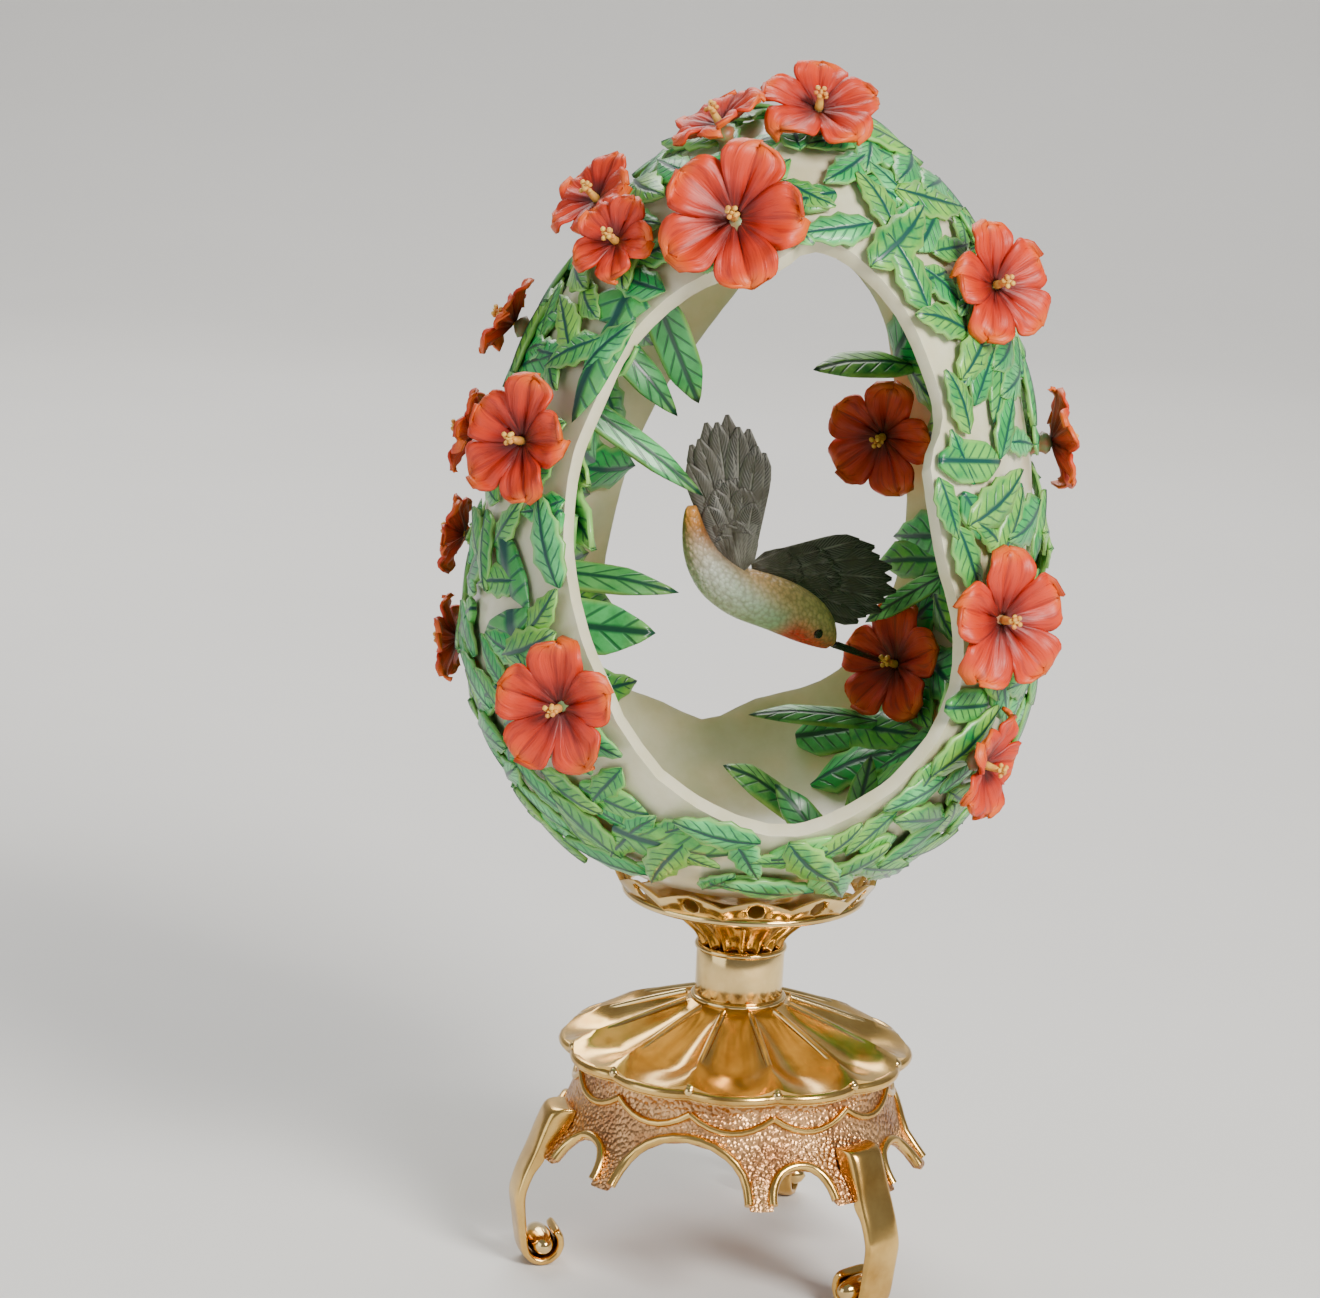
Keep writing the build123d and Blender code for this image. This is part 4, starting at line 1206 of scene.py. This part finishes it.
def finish_tree(tree, start, end, made, output):
    """Ends a tree: what was made becomes real and gets its material."""
    real, finish = add_nodes(tree, "GeometryNode", "RealizeInstances", "SetMaterial")
    join(tree, (made, output, real, "Geometry"), (real, "Geometry", finish, "Geometry"),
         (start, "Material", finish, "Material"), (finish, "Geometry", end, "Geometry"))
    print(f"{tree.name}: {len(tree.nodes)} nodes")
    return tree


def cord_tree():
    tree, start, end = node_tree("Cord along a path", ("Radius", "Float"), ("Material", "Material"))
    path, profile, sweep = add_nodes(
        tree, "GeometryNode", "MeshToCurve", "CurvePrimitiveCircle", "CurveToMesh")
    set_inputs(profile, Resolution=10)
    set_inputs(sweep, Fill_Caps=True)
    join(tree, (start, "Geometry", path, "Mesh"), (start, "Radius", profile, "Radius"),
         (path, "Curve", sweep, "Curve"), (profile, "Curve", sweep, "Profile Curve"))
    return finish_tree(tree, start, end, sweep, "Mesh")


def bead_tree():
    tree, start, end = node_tree("Beads along a path", ("Radius", "Float"), ("Spacing", "Float"),
                                 ("Material", "Material"))
    path, even, ball, place = add_nodes(
        tree, "GeometryNode", "MeshToCurve", "ResampleCurve", "MeshIcoSphere", "InstanceOnPoints")
    even.mode = "LENGTH"
    set_inputs(ball, Subdivisions=2)
    join(tree, (start, "Geometry", path, "Mesh"), (path, "Curve", even, "Curve"),
         (start, "Spacing", even, "Length"), (start, "Radius", ball, "Radius"),
         (even, "Curve", place, "Points"), (ball, "Mesh", place, "Instance"))
    return finish_tree(tree, start, end, place, "Instances")


cords, beads = cord_tree(), bead_tree()


# %% [markdown]
# A path is a mesh of points and edges with no faces. A tree runs on it as a modifier, whose inputs are
# set by the identifiers of the sockets, and the result is turned into a plain mesh.

# %% Running a tree
def run_tree(obj, tree, **inputs):
    """The object with a tree's result as its plain mesh."""
    modifier = obj.modifiers.new(tree.name, "NODES")
    modifier.node_group = tree
    for item in tree.interface.items_tree:
        if item.in_out == "INPUT" and item.name in inputs:
            modifier[item.identifier] = inputs[item.name]
    baked(obj)
    obj.data.shade_smooth()
    return obj


def along_paths(name, tree, paths, slot_name, is_closed=False, **inputs):
    """Runs a tree on paths of points, and makes the result a piece of the stand."""
    mesh = bpy.data.meshes.new(name)
    points, edges = [], []
    for path in paths:
        first, count = len(points), len(path)
        points += path
        edges += [(first + k, first + (k + 1) % count) for k in range(count if is_closed else count - 1)]
    mesh.from_pydata(points, edges, [])
    obj = run_tree(add_object(name, mesh, []), tree, **inputs)
    print(f"{name}: {len(paths)} paths, {len(obj.data.polygons)} faces")
    return finish_piece(obj, "stand", slot_name)


def level_circle(radius, height, count=72):
    return [way(360 * k / count) * radius + up_axis * height for k in range(count)]


print(f"A level circle has {len(level_circle(MM, 0.0))} points")


# %% [markdown]
# Swags hang round the skirt under the lobes of the dome. Their points lie on the skirt's own curve, which
# falls steeply and then flares, so that the cord sinks halfway into the metal all along.

# %% Swags
skirt_low, skirt_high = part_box("base_skirt")
plate_height, skirt_depth = skirt_high.z, skirt_high.z - skirt_low.z
skirt_top_radius, skirt_edge_radius = 19.6 * MM, 25.3 * MM
drop_shares, flare_shares = (0.0, 0.34, 0.68, 1.0), (0.0, 0.12, 0.42, 1.0)
swag_top, swag_drop, swag_steps = 2.2 * MM, 1.9 * MM, 8


def skirt_radius(height):
    flare = float(np.interp((plate_height - height) / skirt_depth, drop_shares, flare_shares))
    return skirt_top_radius + (skirt_edge_radius - skirt_top_radius) * flare


def on_skirt(turn, height):
    return way(turn) * skirt_radius(height) + up_axis * height


def swag_path(k):
    path = []
    for s in range(swag_steps + 1):
        sag = swag_drop * (1 - (2 * s / swag_steps - 1) ** 2)
        path.append(on_skirt(stand_turn + 360 * (k + s / swag_steps) / dome_lobe_count,
                             plate_height - swag_top - sag))
    return path


along_paths("swags", cords, [swag_path(k) for k in range(dome_lobe_count)], "rose_gilt",
            Radius=0.5 * MM, Material=gold)


# %% [markdown]
# A cord edges each of the skirt's arches. There are three groups, each a wide arch between two narrow
# ones, and each arch is part of a circle wrapped round the skirt, just above the cut edge.

# %% Arch rims
arch_lift, arch_least, arch_steps = 0.7 * MM, 0.6 * MM, 16
arch_groups = (60.0, 180.0, 300.0)

# Each row: an arch's turn from the middle of its group, half its width, and its rise.
arch_rows = [(0.0, 9.2 * MM, 6.8 * MM), (-38.3, 4.3 * MM, 4.0 * MM), (38.3, 4.3 * MM, 4.0 * MM)]


def arch_path(middle, offset, half_width, rise):
    foot = plate_height - skirt_depth
    radius = (half_width ** 2 + rise ** 2) / (2 * rise)
    path = []
    for k in range(arch_steps + 1):
        across = half_width * sin((k / arch_steps - 0.5) * pi)
        height = foot + rise - radius + sqrt(radius ** 2 - across ** 2) + arch_lift
        height = max(height, foot + arch_least)
        turn = stand_turn + middle + offset + across / skirt_radius(height) * 180 / pi
        path.append(on_skirt(turn, height))
    return path


along_paths("arch_rims", cords, [arch_path(middle, *row) for middle in arch_groups for row in arch_rows],
            "rose_gilt", Radius=0.62 * MM, Material=gold)


# %% [markdown]
# A round rib runs up each ridge of the dome and ends in a bead, and a cord rolls the scalloped lip.

# %% Dome trims
rib_steps, rib_reach_share, bead_reach_share = 12, 0.96, 0.02
lip_inset, lip_rise, lip_steps = 0.25 * MM, 0.75 * MM, 8


def rib_point(k, share):
    radius = dome_radius + (crown_radius - dome_radius) * share
    turn = stand_turn + 360 * k / dome_lobe_count
    return way(turn) * radius + up_axis * (dome_low.z + dome_rise(share))


def lip_path():
    steps = dome_lobe_count * lip_steps
    path = []
    for k in range(steps):
        bulge = 1 - (2 * (k % lip_steps) / lip_steps - 1) ** 2
        radius = dome_radius + dome_lobe_rise * bulge - lip_inset
        path.append(way(stand_turn + 360 * k / steps) * radius + up_axis * (plate_height + lip_rise))
    return path


rib_paths = [[rib_point(k, rib_reach_share * s / rib_steps) for s in range(rib_steps + 1)]
             for k in range(dome_lobe_count)]
rib_ends = [[rib_point(k, 0.0), rib_point(k, bead_reach_share)] for k in range(dome_lobe_count)]
along_paths("dome_ribs", cords, rib_paths, "gilt", Radius=0.5 * MM, Material=pale_gold)
along_paths("rib_beads", beads, rib_ends, "gilt", Radius=0.75 * MM, Spacing=1.0 * MM, Material=pale_gold)
along_paths("dome_lip", cords, [lip_path()], "gilt", is_closed=True, Radius=0.7 * MM, Material=gold)


# %% [markdown]
# A wire lies round the gallery's foot, where it is soldered to the cup, and a ring closes each end of the
# collar. These are level circles, so the same cord tree makes them.

# %% Wire and rings
cup_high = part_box("cup")[1]
collar_low, collar_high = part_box("collar")
wire_reach = 15.0 * MM
collar_rings = [level_circle(5.7 * MM, collar_low.z + 0.3 * MM),
                level_circle(5.5 * MM, collar_high.z + 0.2 * MM)]
along_paths("gallery_wire", cords, [level_circle(wire_reach, cup_high.z)], "polished_gilt",
            is_closed=True, Radius=0.55 * MM, Material=pale_gold)
along_paths("collar_rings", cords, collar_rings, "polished_gilt", is_closed=True, Radius=0.4 * MM,
            Material=pale_gold)


# %% [markdown]
# ## Leaves all over the shell
# Between the modelled leaves the shell is almost hidden by small ones, laid on by hand. Hundreds of them
# would be far too many to model, but four forms, turned and sized in many ways, look like many. A form is
# a notched, ribbed blade that bends down towards its tip and edges, with only a few dozen faces.

# %% Small leaf forms
small_leaf_length, small_leaf_width = 9.5 * MM, 4.3 * MM
small_leaf_forms = 4
blade_rows, blade_columns = 8, 4
blade_wall, blade_clear, least_half = 0.4 * MM, 0.55 * MM, 0.04 * MM
blade_wave, blade_rib, blade_lift = 0.5 * MM, 0.35 * MM, 0.75 * MM
bend_radius = 30 * MM


def small_leaf(number):
    sheet, rows = Sheet(), []
    for i in range(blade_rows + 1):
        u = i / blade_rows
        half = small_leaf_width / 2 * sin(pi * u ** 0.8) ** 0.8 * (1 + 0.12 * (-1) ** (i + number))
        half = max(half, least_half)
        row = []
        for j in range(blade_columns + 1):
            v = 2 * j / blade_columns - 1
            x, y = small_leaf_length * (u - 0.5), half * v + blade_wave * sin(u * 3 + number)
            rib = blade_rib * (1 - abs(v)) ** 2
            lift = blade_lift * u * (0.5 + number / 6)
            z = blade_clear + lift + rib - (x * x + y * y) / (2 * bend_radius)
            row.append((Vector((x, y, z)), (u, v, number / (small_leaf_forms - 1))))
        rows.append(row)
    sheet.grid(rows)
    name = f"leaf_form_{number}"
    return with_wall(add_object(name, sheet.mesh(name), [relief_green]), blade_wall, -1.0)


leaf_forms = [small_leaf(number) for number in range(small_leaf_forms)]
print(f"Each of {small_leaf_forms} leaf forms has {len(leaf_forms[0].data.polygons)} faces")


# %% [markdown]
# The places are drawn with a fixed seed, so that each run gives the same leaves. A place is kept where a
# whole leaf lies on the shell, clear of the windows, and not too near another: the middle, the two ends
# and the two sides of the leaf are all measured against the shell's mesh.

# %% Small leaf places
shell_slack, side_reach, end_reach_share = 0.45 * MM, 1.2 * MM, 0.42
outer_apart, inner_apart = 3.9 * MM, 5.2 * MM
inner_sizes = (1.1, 1.7)
lean_reach = 70


def small_leaf_places(seed, tries, turns, rises, sizes, apart, inset=0.0):
    """Rows of (point, rotation, size) on one face of the shell, off its windows and off its foot."""
    chance = np.random.default_rng(seed)
    facing = -1 if inset else 1
    mesh = nodes["egg_shell"].data
    shell = BVHTree.FromPolygons([v.co for v in mesh.vertices], [face.vertices for face in mesh.polygons])
    places = []
    for _ in range(tries):
        turn, rise = chance.uniform(*turns), chance.uniform(*rises)
        if chance.random() > cosd(rise) + 0.1:
            continue
        spot = egg_point(turn, rise, inset)
        normal = egg_height_of(spot, inset)[1] * facing
        level = up_axis.cross(normal).normalized()
        lean = radians(chance.uniform(-lean_reach, lean_reach)) + (pi if chance.random() < 0.5 else 0.0)
        along = level * cos(lean) + normal.cross(level) * sin(lean)
        side, size = normal.cross(along), chance.uniform(*sizes)
        ends, sides = along * small_leaf_length * end_reach_share * size, side * side_reach
        lies = True
        for test in (spot, spot + ends, spot - ends, spot + sides, spot - sides):
            gap = shell.find_nearest(egg_seat @ test)[3]
            lies = lies and gap < abs(egg_height_of(test, inset)[0]) + shell_slack
        if not lies or any((spot - other[0]).length < apart for other in places):
            continue
        leaf_axes = Matrix((along, side, normal)).transposed()
        places.append((spot, (egg_seat.to_3x3() @ leaf_axes).to_euler(), size))
    return [(egg_seat @ spot, turned, size) for spot, turned, size in places]


leaf_places = small_leaf_places(seed=7, tries=2200, turns=(0, 360), rises=(-52, 80), sizes=(0.75, 1.25),
                                apart=outer_apart)
outside_count = len(leaf_places)
for seed, turns, rises in ((8, (142, 230), (-40, 45)), (9, (-50, 38), (-44, 45))):
    leaf_places += small_leaf_places(seed, 500, turns, rises, inner_sizes, inner_apart, shell_wall)
print(f"{outside_count} leaves lie outside and {len(leaf_places) - outside_count} on the inner wall")


# %% [markdown]
# A Geometry Nodes tree then sets one form on every place, turned and sized by the place's own attributes,
# and makes the copies real. The forms themselves are removed once they have served.

# %% Small leaves
def scatter_tree():
    tree, start, end = node_tree("A form on every place", ("Form", "Object"), ("Material", "Material"))
    source, turned, size, place, points = add_nodes(
        tree, "GeometryNode", "ObjectInfo", "InputNamedAttribute", "InputNamedAttribute",
        "InstanceOnPoints", "MeshToPoints")
    turned.data_type = "FLOAT_VECTOR"
    set_inputs(turned, Name="place_turn")
    set_inputs(size, Name="place_size")
    join(tree, (start, "Geometry", points, "Mesh"), (start, "Form", source, "Object"),
         (points, "Points", place, "Points"), (source, "Geometry", place, "Instance"),
         (turned, "Attribute", place, "Rotation"), (size, "Attribute", place, "Scale"))
    return finish_tree(tree, start, end, place, "Instances")


scatter = scatter_tree()
for number, form in enumerate(leaf_forms):
    spots, turns, sizes = zip(*leaf_places[number::small_leaf_forms])
    mesh = bpy.data.meshes.new(f"small_leaves_{number}")
    mesh.from_pydata(spots, [], [])
    add_attribute(mesh, "place_turn", "FLOAT_VECTOR", [angle for turn in turns for angle in turn])
    add_attribute(mesh, "place_size", "FLOAT", sizes)
    obj = run_tree(add_object(f"small_leaves_{number}", mesh, []), scatter, Form=form,
                   Material=relief_green)
    bpy.data.objects.remove(form)
    print(f"{len(spots)} leaves of form {number}, {len(obj.data.polygons)} faces")
    finish_piece(obj, "egg", "leaf_glaze")


# %% [markdown]
# ## Floor, light and camera
# The floor is pale and curves up into a wall behind the object, so that no line crosses the picture.

# %% Floor
floor_half, floor_widen = 1.2, 1.6
wall_reach, wall_curve, wall_height = 1.0, 0.35, 1.6


def stage_floor():
    profile = [(-floor_half, 0.0), (wall_reach - wall_curve, 0.0)]
    for a in np.linspace(0.1, pi / 2, 10):
        profile.append((wall_reach - wall_curve + wall_curve * sin(a), wall_curve - wall_curve * cos(a)))
    profile.append((wall_reach, wall_height))
    mesh = bpy.data.meshes.new("floor")
    points = [(x, y, z) for y, z in profile for x in (-floor_half * floor_widen, floor_half * floor_widen)]
    faces = [(2 * k, 2 * k + 1, 2 * k + 3, 2 * k + 2) for k in range(len(profile) - 1)]
    mesh.from_pydata(points, [], faces)
    mesh.shade_smooth()
    pale = plain("Pale floor", colour(0.74, 0.73, 0.71), colour(0.70, 0.69, 0.67), scale=4.0, rough=0.7)
    floor = add_object("floor", mesh, [pale])
    return floor


print(f"The floor has {len(stage_floor().data.polygons)} faces")


# %% [markdown]
# One large soft key stands at the front right, a weak cool fill at the left, and a light behind parts the
# object from the floor. A dim room colour fills the reflections in the gilt.

# %% Lights
light_aim = Vector((0, 0, 0.08))

# Each row: name, place, size, power and colour.
light_rows = [("key", (0.45, -0.55, 0.55), 0.30, 11.5, (1.0, 0.97, 0.92)),
              ("fill", (-0.7, -0.45, 0.25), 0.6, 2.2, (0.88, 0.94, 1.0)),
              ("back", (-0.1, 0.5, 0.6), 0.5, 5.0, (1.0, 0.98, 0.95))]


def area_light(name, place, size, power, tone):
    data = bpy.data.lights.new(name, "AREA")
    data.size, data.energy, data.color = size, power, tone
    lamp = bpy.data.objects.new(name, data)
    bpy.context.scene.collection.objects.link(lamp)
    lamp.location = place
    lamp.rotation_euler = (light_aim - Vector(place)).to_track_quat("-Z", "Y").to_euler()


for row in light_rows:
    area_light(*row)
world = bpy.data.worlds.new("Soft room")
world.use_nodes = True
set_inputs(world.node_tree.nodes["Background"], Color=(0.80, 0.82, 0.85, 1.0), Strength=0.30)
bpy.context.scene.world = world
print(f"{len(light_rows)} lights")


# %% [markdown]
# The camera stands where the photograph's did: a little above the egg, turned a little about its own
# line of sight, with a long lens.

# %% Camera
camera_rise, camera_reach, camera_roll = 13.8, 650 * MM, 2.8
camera_aim = Vector((-12.1 * MM, 0, 79.6 * MM))
lens_in_pixels, frame_width_in_pixels = 5184, 1320
eye_data = bpy.data.cameras.new("camera")
eye_data.sensor_width = 36.0
eye_data.lens = lens_in_pixels / frame_width_in_pixels * eye_data.sensor_width
eye = bpy.data.objects.new("camera", eye_data)
bpy.context.scene.collection.objects.link(eye)
out = way(90, camera_rise)
place = Matrix.Translation(camera_aim + out * camera_reach)
turned = (-out).to_track_quat("-Z", "Y").to_matrix().to_4x4()
eye.matrix_world = place @ turned @ Matrix.Rotation(radians(camera_roll), 4, "Z")
bpy.context.scene.camera = eye
print(f"The lens is {eye_data.lens:.1f} mm long")


# %% [markdown]
